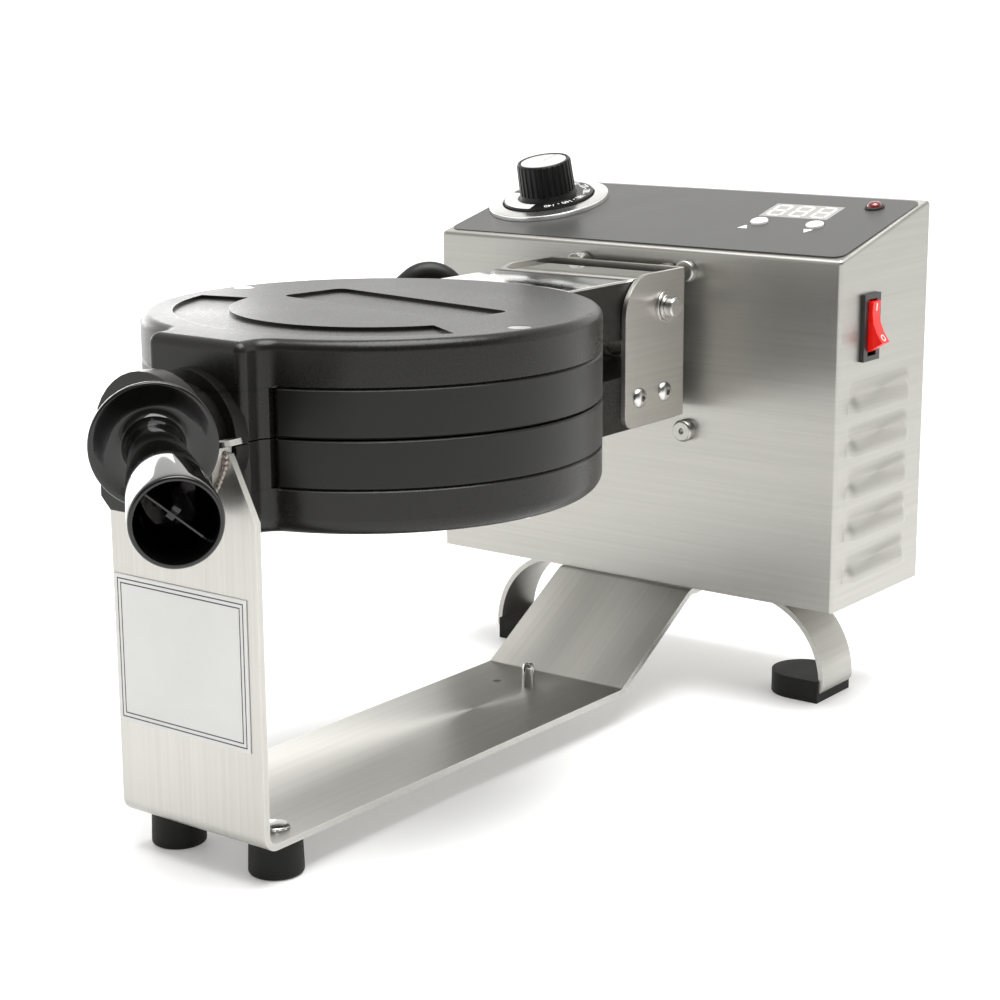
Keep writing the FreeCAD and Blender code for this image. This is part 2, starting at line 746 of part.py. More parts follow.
# Rotor shaft with flange, thrust washer and collar.
rotor_flange = rod("rotor_flange", "flange_disc", "y", ("0", "axis_height"), (BRACKET_BACK, f"{BF}-2.6"))
rotor_rod = rod("rotor_rod", "shaft_radius", "y", ("0", "axis_height"), (f"{BRACKET_BACK}+1", f"{BUSH_END}+14"))
rotor_bore = rod("rotor_bore", "shaft_bore", "y", ("0", "axis_height"), (f"{BRACKET_BACK}-5", f"{BUSH_END}+20"))
bracket_holes = []
sinks = []
for i, (sx, sz) in enumerate(((1, 1), (1, -1), (-1, 1), (-1, -1))):
    place = (f"{sx}*13.5", f"axis_height+{sz}*13.5")
    hole = rod(f"bracket_hole_{i}", "3", "y", place, (f"{BRACKET_FRONT}-5", f"{BF}-4"))
    bracket_holes.append(hole)
    sink = turned(
        f"sink_screw_{i}",
        [
            ("0", "0"),
            ("2", "0"),
            ("2", "1"),
            ("5.2", "0"),
            ("5.2", "0.4"),
            ("3", "bracket_sheet"),
            ("3", "bracket_sheet+bracket_gap-4"),
            ("0", "bracket_sheet+bracket_gap-4"),
        ],
    )
    set_at(sink, (place[0], BRACKET_FRONT, place[1]), TURN["y"])
    sinks.append(sink)
rotor_body = join("rotor_body", rotor_flange, rotor_rod)
node(cut("rotor_shaft_body", rotor_body, rotor_bore, *bracket_holes), "rotor_shaft")
node(group("sink_screw_set", *sinks), "bracket_screws")
washer = ring(
    "thrust_washer_body",
    "shaft_radius+8",
    "shaft_radius",
    "y",
    ("0", "axis_height"),
    (f"{BF}-2.6", f"{BF}-0.3"),
)
node(washer, "thrust_washer")
collar = ring(
    "shaft_collar_body",
    "shaft_radius+8",
    "shaft_radius",
    "y",
    ("0", "axis_height"),
    (f"{BUSH_END}+0.3", f"{BUSH_END}+11"),
)
node(collar, "shaft_collar")

# Hinge bracket: U of sheet, with side screws and stop studs.
EAR_FRONT = f"({BRACKET_BACK}-ear_length)"
BRACKET_Z = ("axis_height-bracket_low", "axis_height+bracket_top")
outer_u = block("outer_u", ("-bracket_half", "bracket_half"), (EAR_FRONT, BRACKET_BACK), BRACKET_Z)
inner_u = block(
    "inner_u",
    (f"-{EAR_IN}", EAR_IN),
    (f"{EAR_FRONT}-5", BRACKET_FRONT),
    ("axis_height-bracket_low-5", "axis_height+bracket_top+5"),
)
plain_u = cut("plain_u", outer_u, inner_u)


def ear_corner(edge):
    a, b = edge.Vertexes[0].Point, edge.Vertexes[-1].Point
    along_x = abs(a.y - b.y) < 0.01 and abs(a.z - b.z) < 0.01
    return along_x and abs(a.y - value(EAR_FRONT)) < 0.05 and a.z > value("axis_height")


def ear_foot(edge):
    a, b = edge.Vertexes[0].Point, edge.Vertexes[-1].Point
    along_x = abs(a.y - b.y) < 0.01 and abs(a.z - b.z) < 0.01
    return along_x and abs(a.y - value(EAR_FRONT)) < 0.05 and a.z < value("axis_height")


def back_fold(edge):
    a, b = edge.Vertexes[0].Point, edge.Vertexes[-1].Point
    upright = abs(a.x - b.x) < 0.01 and abs(a.y - b.y) < 0.01
    return upright and abs(a.y - value(BRACKET_BACK)) < 0.05


eared = rounded("bracket_ears", plain_u, "ear_round", ear_corner)
footed = rounded("bracket_feet", eared, "6", ear_foot)
folded = rounded("bracket_folds", footed, "3.5", back_fold)
SIDE_SCREWS = (f"({BF}-52)", f"({BF}-30.4)")
SIDE_Z = "(axis_height-18.5)"
pin_bore = rod("pin_bore", "pin_radius", "x", (HINGE_Y, HINGE_Z), ("-70", "70"))
wire_span = (f"{BRACKET_FRONT}-3", f"{BRACKET_BACK}+3")
wire_bore = rod("wire_bore", "shaft_bore", "y", ("0", "axis_height"), wire_span)
side_holes = []
side_screws = []
for i, y in enumerate(SIDE_SCREWS):
    for j, sign in enumerate((1, -1)):
        span = (f"{EAR_IN}-14", "bracket_half+1") if sign > 0 else ("-(bracket_half+1)", f"-({EAR_IN}-14)")
        side_holes.append(rod(f"side_hole_{i}{j}", "2.5", "x", (y, SIDE_Z), span))
        screw = turned(
            f"side_screw_{i}{j}",
            [
                ("0", "-16.5"),
                ("2.5", "-16.5"),
                ("2.5", "0"),
                ("4.9", "0"),
                ("4.6", "1.2"),
                ("3.4", "2.3"),
                ("1.6", "2.8"),
                ("1.5", "1.2"),
                ("0", "1.2"),
            ],
        )
        turn = TURN["x"] if sign > 0 else Rotation(Vector(0, 1, 0), -90)
        set_at(screw, ("bracket_half" if sign > 0 else "-bracket_half", y, SIDE_Z), turn)
        side_screws.append(screw)
cones = []
for i, (sx, sz) in enumerate(((1, 1), (1, -1), (-1, 1), (-1, -1))):
    cone = turned(
        f"sink_cone_{i}",
        [("0", "0"), ("5.2", "0"), ("5.2", "0.4"), ("3", "bracket_sheet"), ("0", "bracket_sheet")],
    )
    set_at(cone, (f"{sx}*13.5", BRACKET_FRONT, f"axis_height+{sz}*13.5"), TURN["y"])
    cones.append(cone)
bracket = cut("hinge_bracket_body", folded, pin_bore, wire_bore, *side_holes, *cones)
node(bracket, "hinge_bracket")
node(group("side_screw_set", *side_screws), "bracket_side_screws")
studs = []
stud_places = (("stud_x", "axis_height+stud_up"), ("-stud_left", "axis_height+stud_left_up"))
for i, place in enumerate(stud_places):
    studs.append(rod(f"stop_stud_{i}", "4.5", "y", place, (BRACKET_BACK, f"{BF}-1.2")))
node(group("stop_stud_set", *studs), "stop_studs")

# Hinge pin (bored from the left for the wires), washers and clips.
PIN_END = "(bracket_half+pin_out)"
GROOVE = "(bracket_half+1.6)"
pin = turned(
    "hinge_pin_body",
    [
        ("3.2", f"-{PIN_END}"),
        ("pin_radius-0.6", f"-{PIN_END}"),
        ("pin_radius", f"-{PIN_END}+0.6"),
        ("pin_radius", f"-{GROOVE}-1"),
        ("pin_radius-1", f"-{GROOVE}-1"),
        ("pin_radius-1", f"-{GROOVE}"),
        ("pin_radius", f"-{GROOVE}"),
        ("pin_radius", GROOVE),
        ("pin_radius-1", GROOVE),
        ("pin_radius-1", f"{GROOVE}+1"),
        ("pin_radius", f"{GROOVE}+1"),
        ("pin_radius", f"{PIN_END}-0.6"),
        ("pin_radius-0.6", PIN_END),
        ("0", PIN_END),
        ("0", "30"),
        ("3.2", "30"),
    ],
)
set_at(pin, ("0", HINGE_Y, HINGE_Z), TURN["x"])
node(pin, "hinge_pin")
washers = []
clips = []
for i, sign in enumerate((1, -1)):
    span = ("bracket_half", "bracket_half+1.4") if sign > 0 else ("-(bracket_half+1.4)", "-bracket_half")
    washers.append(ring(f"pin_washer_{i}", "pin_radius+3", "pin_radius+0.1", "x", (HINGE_Y, HINGE_Z), span))
    span = (GROOVE, f"{GROOVE}+1") if sign > 0 else (f"-({GROOVE}+1)", f"-{GROOVE}")
    clips.append(ring(f"pin_clip_{i}", "pin_radius+1.6", "pin_radius-1", "x", (HINGE_Y, HINGE_Z), span))
node(group("pin_washer_set", *washers), "pin_washers")
node(group("pin_clip_set", *clips), "pin_clips")


# The two cover castings.
def cover_cap(name, low, high, outer):
    """Disc and front block as one casting, outer face at the height outer, edges rounded."""
    disc = rod(name + "_disc", "head_radius", "z", ("0", HEAD_Y), (low, high))
    nose = block(
        name + "_nose", ("-block_half", "block_half"), (BLOCK_Y, f"{HEAD_Y}-head_radius/2"), (low, high)
    )
    both = join(name + "_both", disc, nose)
    root_y = value(f"{HEAD_Y}-sqrt(head_radius^2-block_half^2)")

    def standing(edge, y):
        a, b = edge.Vertexes[0].Point, edge.Vertexes[-1].Point
        upright = math.hypot(a.x - b.x, a.y - b.y) < 0.01
        return upright and abs(abs(a.x) - value("block_half")) < 0.05 and abs(a.y - y) < 0.05

    blended = rounded(name + "_blend", both, "block_blend", lambda edge: standing(edge, root_y))
    nosed = rounded(name + "_corner", blended, "4", lambda edge: standing(edge, value(BLOCK_Y)))
    face = value(outer)

    def rim(edge):
        return all(abs(point.z - face) < 0.01 for point in edge.discretize(5))

    return rounded(name + "_rim", nosed, "top_round" if outer == UP2 else "under_round", rim)


def plate_room(name, low, high):
    """All of the plate's slice except the wall behind the front block."""
    wide = rod(name + "_wide", "head_radius+20", "z", ("0", HEAD_Y), (low, high))
    keep = block(
        name + "_keep",
        ("-band_end", "band_end"),
        (f"{HEAD_Y}-head_radius-40", f"{HEAD_Y}-head_radius+14"),
        (f"({low})-1", f"({high})+1"),
    )
    return cut(name, wide, keep)


def front_end(name, keep_z, flange_line):
    """Boss, half neck and flange in front of the block."""
    boss = rod(name + "_boss", "boss_radius", "y", ("0", "axis_height"), (BOSS_Y, f"{BLOCK_Y}+2"))
    neck = rod(name + "_neck", "neck_radius", "y", ("0", "axis_height"), (f"{FLANGE_BACK}-2", f"{BOSS_Y}+2"))
    plate = prism(name + "_flange", "XZ_Plane", flange_line, f"-{FLANGE_BACK}", "flange_thick")
    keep = block(name + "_keep", ("-80", "80"), (f"{FLANGE_FRONT}-9", f"{BLOCK_Y}+9"), keep_z)
    return join(name, plate, common(name + "_half", join(name + "_both", boss, neck), keep))


UPPER_FLANGE = [("-flange_half", UP0), ("flange_half", UP0)]
for bearing in range(25, 156, 10):
    sideways = math.cos(math.radians(bearing))
    upward = math.sin(math.radians(bearing))
    UPPER_FLANGE.append((f"flange_radius*{sideways:.5f}", f"axis_height+flange_radius*{upward:.5f}"))
LOWER_FLANGE = [
    ("-flange_half", LO0),
    ("-flange_half", "axis_height-23"),
    ("-flange_half+5", "axis_height-28"),
    ("flange_half-5", "axis_height-28"),
    ("flange_half", "axis_height-23"),
    ("flange_half", LO0),
]

YAW = math.radians(value("handle_yaw"))
PITCH = math.radians(value("handle_pitch"))
GRIP = Vector(math.sin(YAW) * math.cos(PITCH), -math.cos(YAW) * math.cos(PITCH), -math.sin(PITCH))
ACROSS = Vector(math.cos(YAW), math.sin(YAW), 0)
HANDLE_TURN = Rotation(ACROSS, GRIP.cross(ACROSS), GRIP, "ZXY")
HANDLE_AT = ("handle_x", f"{FLANGE_FRONT}-handle_out", "axis_height+handle_rise")

SCREW_TURN = math.radians(8.5)
PLATE_SCREW_R = "(head_radius-9.5)"


def screw_place(sign):
    x = f"{sign * math.cos(SCREW_TURN):.5f}*{PLATE_SCREW_R}"
    y = f"{HEAD_Y}-{sign * math.sin(SCREW_TURN):.5f}*{PLATE_SCREW_R}"
    return x, y



def gussets(name, half, z):
    """Concave corners where an arm's sides run into the round cover."""
    made = []
    far = f"({half}+arm_blend)"
    top_y = f"({HEAD_Y}+sqrt((head_radius+arm_blend)^2-{far}^2))"
    touch_x = f"({far}*head_radius/(head_radius+arm_blend))"
    touch_y = f"({HEAD_Y}+({top_y}-{HEAD_Y})*head_radius/(head_radius+arm_blend))"
    for i, sign in enumerate((1, -1)):
        mark = "" if sign > 0 else "-"
        span = (f"{half}-2", touch_x) if sign > 0 else (f"-{touch_x}", f"-({half}-2)")
        fill = block(f"{name}_fill_{i}", span, (f"{touch_y}-3", top_y), z)
        scoop = rod(
            f"{name}_scoop_{i}", "arm_blend", "z", (f"{mark}{far}", top_y), (f"({z[0]})-5", f"({z[1]})+5")
        )
        made.append(cut(f"{name}_{i}", fill, scoop))
    return made


upper_cap = cover_cap("upper_cap", UP0, UP2, UP2)
upper_shell = cut("upper_shell", upper_cap, plate_room("upper_room", f"{UP0}-5", UP1))
arm_top = f"({HINGE_Z}+trim_rise-trim_thick)"
TRIM_END = f"({HINGE_Y}-trim_back)"
ARM_X = (f"-{ARM_HALF}", ARM_HALF)
upper_arm_bar = block(
    "upper_arm_bar", ARM_X, (f"{HEAD_Y}+head_radius*0.7", TRIM_END), ("axis_height+arm_low", arm_top)
)
upper_arm_link = block(
    "upper_arm_link", ARM_X, (f"{TRIM_END}-5", HINGE_Y), (f"{HINGE_Z}-lug_radius", f"{HINGE_Z}+lug_radius")
)
upper_arm_end = rod("upper_arm_end", "lug_radius", "x", (HINGE_Y, HINGE_Z), ARM_X)
plate_clear = rod("plate_clear", "head_radius+0.3", "z", ("0", HEAD_Y), (f"{UP0}-30", UP1))
upper_arm = cut("upper_arm", join("upper_arm_both", upper_arm_bar, upper_arm_link, upper_arm_end), plate_clear)
upper_front = front_end("upper_front", (UP0, f"{UP0}+60"), UPPER_FLANGE)
grip_boss_rod = rod("grip_boss_rod", "12.5", "z", ("0", "0"), ("-31", "-2"))
grip_boss = placed("grip_boss", grip_boss_rod, HANDLE_AT, HANDLE_TURN)
boss_clear = block(
    "boss_clear", ("-80", "80"), (f"{FLANGE_FRONT}-0.6", f"{BLOCK_Y}+5"), ("axis_height-60", UP0)
)
grip_boss_cut = cut("grip_boss_cut", grip_boss, boss_clear)
upper_gussets = gussets("upper_gusset", ARM_HALF, (UP1, arm_top))
upper_solid = join("upper_solid", upper_shell, upper_arm, upper_front, grip_boss_cut, *upper_gussets)
upper_cavity = rod(
    "upper_cavity", "head_radius-cover_wall", "z", ("0", HEAD_Y), (f"{UP1}-1", f"{UP2}-cover_roof")
)
bush_tool = rod("bush_tool", "bush_radius", "x", (HINGE_Y, HINGE_Z), (f"-{ARM_HALF}-5", f"{ARM_HALF}+5"))
stud_tool_rod = rod("stud_tool_rod", "4", "z", ("0", "0"), ("-24", "5"))
stud_tool = placed("stud_tool", stud_tool_rod, HANDLE_AT, HANDLE_TURN)
upper_holes = []
upper_screws = []
for i, sign in enumerate((1, -1)):
    place = screw_place(sign)
    upper_holes.append(rod(f"upper_shank_hole_{i}", "2.2", "z", place, (f"{UP1}-12", f"{UP2}+5")))
    upper_holes.append(rod(f"upper_head_hole_{i}", "4.8", "z", place, (f"{UP2}-2.4", f"{UP2}+5")))
    shank = rod(f"upper_shank_{i}", "2.2", "z", place, (f"{UP1}-12", f"{UP2}-2"))
    head = rod(f"upper_head_{i}", "4.8", "z", place, (f"{UP2}-2.4", f"{UP2}-0.1"))
    upper_screws.append(join(f"upper_screw_{i}", shank, head))

# Two shallow bare recesses in the lid's top, turned with the screws.
plaque = block("plaque", ("-55", "55"), ("-6", "29"), ("-pocket_deep", "5"))
plaque_soft = rounded(
    "plaque_soft",
    plaque,
    "5",
    lambda edge: abs(edge.Vertexes[0].Point.z - edge.Vertexes[-1].Point.z) > 1,
)
band = ring("band", "head_radius*0.902", "head_radius*0.66", "z", ("0", "5"), ("-pocket_deep", "5"))
wedge_line = [("0", "5"), ("-231", "-90.7"), ("-231", "-300"), ("231", "-300"), ("231", "-90.7")]
wedge = prism("wedge", "XY_Plane", wedge_line, "-20", "40")
arc_pocket = common("arc_pocket", band, wedge)
pockets = placed(
    "pockets",
    group("pocket_pair", plaque_soft, arc_pocket),
    ("0", HEAD_Y, UP2),
    Rotation(Vector(0, 0, 1), -math.degrees(SCREW_TURN)),
)
upper_cover = cut(
    "upper_cover_body",
    upper_solid,
    upper_cavity,
    bush_tool,
    stud_tool,
    pockets,
    group("upper_hole_set", *upper_holes),
)
node(upper_cover, "upper_cover")
node(group("upper_screw_set", *upper_screws), "upper_plate_screws")

lower_cap = cover_cap("lower_cap", LO2, LO0, LO2)
lower_shell = cut("lower_shell", lower_cap, plate_room("lower_room", LO1, f"{LO0}+5"))
lower_bar = block(
    "lower_bar",
    (f"-{EAR_IN}", EAR_IN),
    (f"{HEAD_Y}+head_radius*0.7", f"{BRACKET_FRONT}-3"),
    ("axis_height-lower_arm_deep", "axis_height-lower_arm_top"),
)
lower_clear = rod("lower_clear", "head_radius+0.3", "z", ("0", HEAD_Y), (LO1, f"{LO0}+30"))
lower_arm = cut("lower_arm", lower_bar, lower_clear)
lower_front = front_end("lower_front", (f"{LO0}-60", LO0), LOWER_FLANGE)
lower_gussets = gussets("lower_gusset", EAR_IN, ("axis_height-lower_arm_deep", LO1))
lower_solid = join("lower_solid", lower_shell, lower_arm, lower_front, *lower_gussets)
lower_cavity = rod(
    "lower_cavity", "head_radius-cover_wall", "z", ("0", HEAD_Y), (f"{LO2}+cover_roof", f"{LO1}+1")
)
lower_holes = []
lower_screws = []
for i, sign in enumerate((1, -1)):
    place = screw_place(sign)
    lower_holes.append(rod(f"lower_shank_hole_{i}", "2.2", "z", place, (f"{LO2}-5", f"{LO1}+12")))
    lower_holes.append(rod(f"lower_head_hole_{i}", "4.8", "z", place, (f"{LO2}-5", f"{LO2}+2.4")))
    shank = rod(f"lower_shank_{i}", "2.2", "z", place, (f"{LO2}+2", f"{LO1}+12"))
    head = rod(f"lower_head_{i}", "4.8", "z", place, (f"{LO2}+0.1", f"{LO2}+2.4"))
    lower_screws.append(join(f"lower_screw_{i}", shank, head))
lower_cover = cut(
    "lower_cover_body",
    lower_solid,
    lower_cavity,
    group("lower_hole_set", *lower_holes),
    group("side_hole_set", *side_holes),
)
node(lower_cover, "lower_cover")
node(group("lower_screw_set", *lower_screws), "lower_plate_screws")


# Grid plates: a round well with a cross rib and rows of tapered studs.
def stud_field(name, floor, tip):
    pitch = value("stud_pitch")
    base = value("stud_base") / 2
    top = value("stud_top") / 2
    reach = value("head_radius-well_margin") - 2
    first = base + 3
    z0, z1 = value(floor), value(tip)
    middle = value(HEAD_Y)
    solids = []
    steps = int(reach / pitch) + 1
    for sx in (-1, 1):
        for sy in (-1, 1):
            for i in range(steps):
                for j in range(steps):
                    x, y = first + i * pitch, first + j * pitch
                    if math.hypot(x + base, y + base) > reach:
                        continue
                    wires = []
                    for half, z in ((base, z0), (top, z1)):
                        square = [(-1, -1), (1, -1), (1, 1), (-1, 1), (-1, -1)]
                        line = [Vector(sx * x + half * a, middle + sy * y + half * b, z) for a, b in square]
                        wires.append(Part.makePolygon(line))
                    solids.append(Part.makeLoft(wires, True, True))
    made = doc.addObject("Part::Feature", name)
    made.Shape = Part.makeCompound(solids)
    return made


def grid_plate(name, low, high, floor, tip, room):
    disc = rod(name + "_disc", "head_radius", "z", ("0", HEAD_Y), (low, high))
    gate = block(
        name + "_gate",
        ("-band_end-0.3", "band_end+0.3"),
        (f"{HEAD_Y}-head_radius-20", f"{HEAD_Y}-head_radius+14.3"),
        (f"({low})-5", f"({high})+5"),
    )
    gated = cut(name + "_gated", disc, gate)
    end_y = value(f"{HEAD_Y}-sqrt(head_radius^2-(band_end+0.3)^2)")

    def band_corner(edge):
        a, b = edge.Vertexes[0].Point, edge.Vertexes[-1].Point
        upright = math.hypot(a.x - b.x, a.y - b.y) < 0.01
        return upright and abs(a.y - end_y) < 0.05

    soft_ends = rounded(name + "_ends", gated, "2", band_corner)
    round_well = rod(name + "_round_well", "head_radius-well_margin", "z", ("0", HEAD_Y), room)
    rim = block(
        name + "_rim",
        ("-band_end-4.3", "band_end+4.3"),
        (f"{HEAD_Y}-head_radius-20", f"{HEAD_Y}-head_radius+18.3"),
        (f"({room[0]})-5", f"({room[1]})+5"),
    )
    well = cut(name + "_well", round_well, rim)
    dished = cut(name + "_dished", soft_ends, well)
    field = stud_field(name + "_studs", floor, tip)
    reach = "(head_radius-well_margin+1)"
    bed = (floor, tip)
    if value(tip) < value(floor):
        bed = (tip, floor)
    ribs = [
        block(name + "_rib_x", (f"-{reach}", reach), (f"{HEAD_Y}-1.4", f"{HEAD_Y}+1.4"), bed),
        block(name + "_rib_y", ("-1.4", "1.4"), (f"{HEAD_Y}-head_radius+16", f"{HEAD_Y}+{reach}"), bed),
    ]
    return join(name + "_cast", dished, field, *ribs)


lower_cast = grid_plate(
    "lower_plate", LO1, LO0, f"{LO0}-well_depth", f"{LO0}-stud_drop", (f"{LO0}-well_depth", f"{LO0}+5")
)
node(cut("lower_grid_body", lower_cast, *lower_holes), "lower_grid_plate")
upper_cast = grid_plate(
    "upper_plate", UP0, UP1, f"{UP0}+well_depth", f"{UP0}+stud_drop", (f"{UP0}-5", f"{UP0}+well_depth")
)
node(cut("upper_grid_body", upper_cast, *upper_holes), "upper_grid_plate")

# Heating rings behind the plates.
for name, z in (("upper_heater", f"{UP1}+4.2"), ("lower_heater", f"{LO1}-4.2")):
    heater = doc.addObject("Part::Torus", name + "_ring")
    bind(heater, "Radius1", "head_radius*0.62")
    bind(heater, "Radius2", "4")
    set_at(heater, ("0", HEAD_Y, z))
    node(heater, name)

# Polished plate over the rear arm.
trim_flat = block(
    "trim_flat", ARM_X, (f"{HEAD_Y}+head_radius*0.8", f"{HINGE_Y}+5.5"), (arm_top, f"{arm_top}+trim_thick")
)
disc_clear = rod("disc_clear", "head_radius+0.15", "z", ("0", HEAD_Y), (f"{UP1}-5", f"{UP2}+5"))
node(cut("arm_trim_body", trim_flat, disc_clear), "arm_cover_plate")

bushes = []
for i, sign in enumerate((1, -1)):
    span = (f"{ARM_HALF}-12", ARM_HALF) if sign > 0 else (f"-{ARM_HALF}", f"-({ARM_HALF}-12)")
    bushes.append(ring(f"hinge_bush_{i}", "bush_radius", "pin_radius+0.06", "x", (HINGE_Y, HINGE_Z), span))
node(group("hinge_bush_set", *bushes), "hinge_bushes")

# Handle: hollow turned grip with a dished collar, on a stud.
HL = "handle_length"
grip_line = [
    ("4", "-2"),
    ("14", "-2"),
    ("handle_collar-3.5", "-0.6"),
    ("handle_collar", "2.4"),
    ("handle_collar", "4.4"),
    ("handle_collar-1.5", "5"),
    ("handle_collar-8", "3.2"),
    ("handle_neck+2.4", "4"),
    ("handle_neck+0.6", "6.5"),
    ("handle_neck", "11"),
    ("handle_neck", f"{HL}*0.22"),
    ("handle_neck+0.5", f"{HL}*0.36"),
    ("handle_neck+1.6", f"{HL}*0.52"),
    ("handle_neck+3.2", f"{HL}*0.7"),
    ("handle_neck+4.9", f"{HL}*0.86"),
    ("handle_end-0.1", f"{HL}*0.965"),
    ("handle_end", f"{HL}*0.99"),
    ("handle_end-0.6", HL),
    ("handle_end-2.2", HL),
    ("handle_end-2.4", f"{HL}*0.95"),
    ("handle_end-5.2", f"{HL}*0.66"),
    ("handle_neck-2.2", f"{HL}*0.4"),
    ("handle_neck-2.6", "28"),
    ("4", "28"),
]
grip = turned("grip_turned", grip_line)
core = turned(
    "grip_core",
    [
        ("0", f"{HL}*0.45"),
        ("handle_neck-1.5", f"{HL}*0.45"),
        ("handle_end-4.7", f"{HL}*0.66"),
        ("handle_end-1.9", f"{HL}*0.95"),
        ("0", f"{HL}*0.95"),
    ],
)
web = block("grip_web", ("-0.9", "0.9"), ("-30", "30"), (f"{HL}*0.45", f"{HL}*0.93"))
web_boss = block("grip_web_boss", ("-4", "4"), ("-2.5", "2.5"), (f"{HL}*0.5", f"{HL}*0.95"))
web_in = common("grip_web_in", join("grip_web_both", web, web_boss), core)
turned_web = placed("grip_web_turned", web_in, ("0", "0", "0"), Rotation(Vector(0, 0, 1), 50))
handle = placed("handle_body", join("grip_whole", grip, turned_web), HANDLE_AT, HANDLE_TURN)
node(handle, "handle")
stud_rod = rod("grip_stud_rod", "4", "z", ("0", "0"), ("-24", "36"))
stud_nut = rod("grip_stud_nut", "7", "z", ("0", "0"), ("28", "34"))
node(placed("handle_stud_body", join("grip_stud", stud_rod, stud_nut), HANDLE_AT, HANDLE_TURN), "handle_stud")

# Bent conduit for the upper heater wires: from the hollow pin round into the cover.
TUBE_R = 5.5
tube_start = Vector(-value(PIN_END) - 1.6, value(HINGE_Y), value(HINGE_Z))
crown = tube_start + Vector(-31.9, -28, value(UP2) - value(HINGE_Z) - 0.8)
rim = (value("head_radius") - 1.6) / 97.6
tube_aim = Vector(-68 * rim, value(HEAD_Y) + 70 * rim, value(UP1) + 9.5)
tube_low = crown + Vector(-18.5, -18, -21.9)
out_way = (tube_low - tube_aim).normalize()
boss_len = 9
tube_end = tube_aim + out_way * boss_len
turns = [
    (tube_start, 0),
    (tube_start + Vector(-4.9, 0, 0), 6.5),
    (tube_start + Vector(-13.4, -10.5, -8.5), 8),
    (crown, 14),
    (tube_low, 12),
    (tube_end, 0),
]


def corner(a, b, c, radius):
    """Tangent arc at b between the lines from a and to c."""
    u = (a - b).normalize()
    v = (c - b).normalize()
    half = u.getAngle(v) / 2
    back = radius / math.tan(half)
    middle = b + (u + v).normalize() * (radius / math.sin(half))
    near = middle + (b - middle).normalize() * radius
    return b + u * back, near, b + v * back


pieces = []
reached = tube_start
for before, here, after in zip(turns, turns[1:], turns[2:]):
    arc = corner(before[0], here[0], after[0], here[1])
    pieces += [Part.LineSegment(reached, arc[0]).toShape(), Part.Arc(*arc).toShape()]
    reached = arc[2]
pieces.append(Part.LineSegment(reached, tube_end).toShape())
path = Part.Wire(pieces)
mouth = Part.Wire([Part.makeCircle(TUBE_R, tube_start, Vector(-1, 0, 0))])
tube = doc.addObject("Part::Feature", "conduit_tube")
tube.Shape = path.makePipeShell([mouth], True, False)
node(tube, "lid_conduit")
stem = doc.addObject("Part::Feature", "conduit_boss_stem")
stem.Shape = Part.makeCylinder(8, boss_len + 12, tube_end - out_way * (boss_len + 12), out_way)
conduit_trim = rod("conduit_trim", "head_radius", "z", ("0", HEAD_Y), (f"{UP0}-20", f"{UP2}+20"))
node(cut("conduit_boss_body", stem, conduit_trim), "conduit_boss")

# Panel pieces.
PT = "panel_thick"
overlay_sheet = block(
    "overlay_sheet", (f"-{HALF_BOX}+2.5", f"{HALF_BOX}-2.5"), ("3.5", f"{ALONG}-3"), ("0", PT)
)


def sheet_corner(edge):
    a, b = edge.Vertexes[0].Point, edge.Vertexes[-1].Point
    return math.hypot(a.x - b.x, a.y - b.y) < 0.01


overlay_round = rounded("overlay_round", overlay_sheet, "6", sheet_corner)
overlay = cut("overlay_cut", overlay_round, dial_hole, lamp_hole, left_hole, right_hole, window_hole)
node(on_panel("panel_overlay_body", overlay), "panel_overlay")

DIAL = ("dial_x", "dial_along", "0")
bezel = turned(
    "bezel_turned",
    [
        ("skirt_radius+0.8", PT),
        ("bezel_radius", PT),
        ("bezel_radius", "2.6"),
        ("bezel_radius-0.6", "3.4"),
        ("skirt_radius+1.4", "3.8"),
        ("skirt_radius+0.8", "3.4"),
    ],
)
node(on_panel("dial_bezel_body", set_at(bezel, DIAL)), "dial_bezel")
skirt = turned(
    "skirt_turned",
    [
        ("4", "1.2"),
        ("skirt_radius", "1.2"),
        ("skirt_radius", "skirt_top-0.5"),
        ("skirt_radius-0.5", "skirt_top"),
        ("4", "skirt_top"),
    ],
)
node(on_panel("dial_skirt_body", set_at(skirt, DIAL)), "dial_skirt")
knob = turned(
    "knob_turned",
    [
        ("3", "skirt_top"),
        ("knob_radius+0.6", "skirt_top"),
        ("knob_radius", "skirt_top+1.6"),
        ("knob_radius-0.4", "skirt_top+knob_height-1"),
        ("knob_radius-1.2", "skirt_top+knob_height"),
        ("knob_radius-2.4", "skirt_top+knob_height"),
        ("knob_radius-2.4", "skirt_top+knob_height-1.4"),
        ("3", "skirt_top+knob_height-1.4"),
    ],
)
set_at(knob, DIAL)
flutes = []
for i in range(30):
    turn = math.radians(12 * i)
    place = (f"dial_x+knob_radius*{math.cos(turn):.6f}", f"dial_along+knob_radius*{math.sin(turn):.6f}")
    flutes.append(rod(f"flute_{i}", "0.9", "z", place, ("skirt_top+2.6", "skirt_top+knob_height+5")))
knob_cut = cut("knob_cut", knob, *flutes)
node(on_panel("thermostat_knob_body", knob_cut), "thermostat_knob")
cap_span = ("skirt_top+knob_height-1.4", "skirt_top+knob_height-0.2")
cap_disc = rod("cap_disc", "knob_radius-2.4", "z", ("dial_x", "dial_along"), cap_span)
cap_line = block(
    "cap_line",
    ("dial_x-0.7", "dial_x+0.7"),
    ("dial_along+2", "dial_along+knob_radius+5"),
    ("skirt_top+knob_height-0.6", "skirt_top+knob_height+5"),
)
node(on_panel("knob_cap_body", cut("cap_cut", cap_disc, cap_line)), "knob_cap")
spindle = rod("spindle_rod", "3", "z", ("dial_x", "dial_along"), ("-12", "skirt_top+knob_height-1.6"))
node(on_panel("thermostat_shaft_body", spindle), "thermostat_shaft")
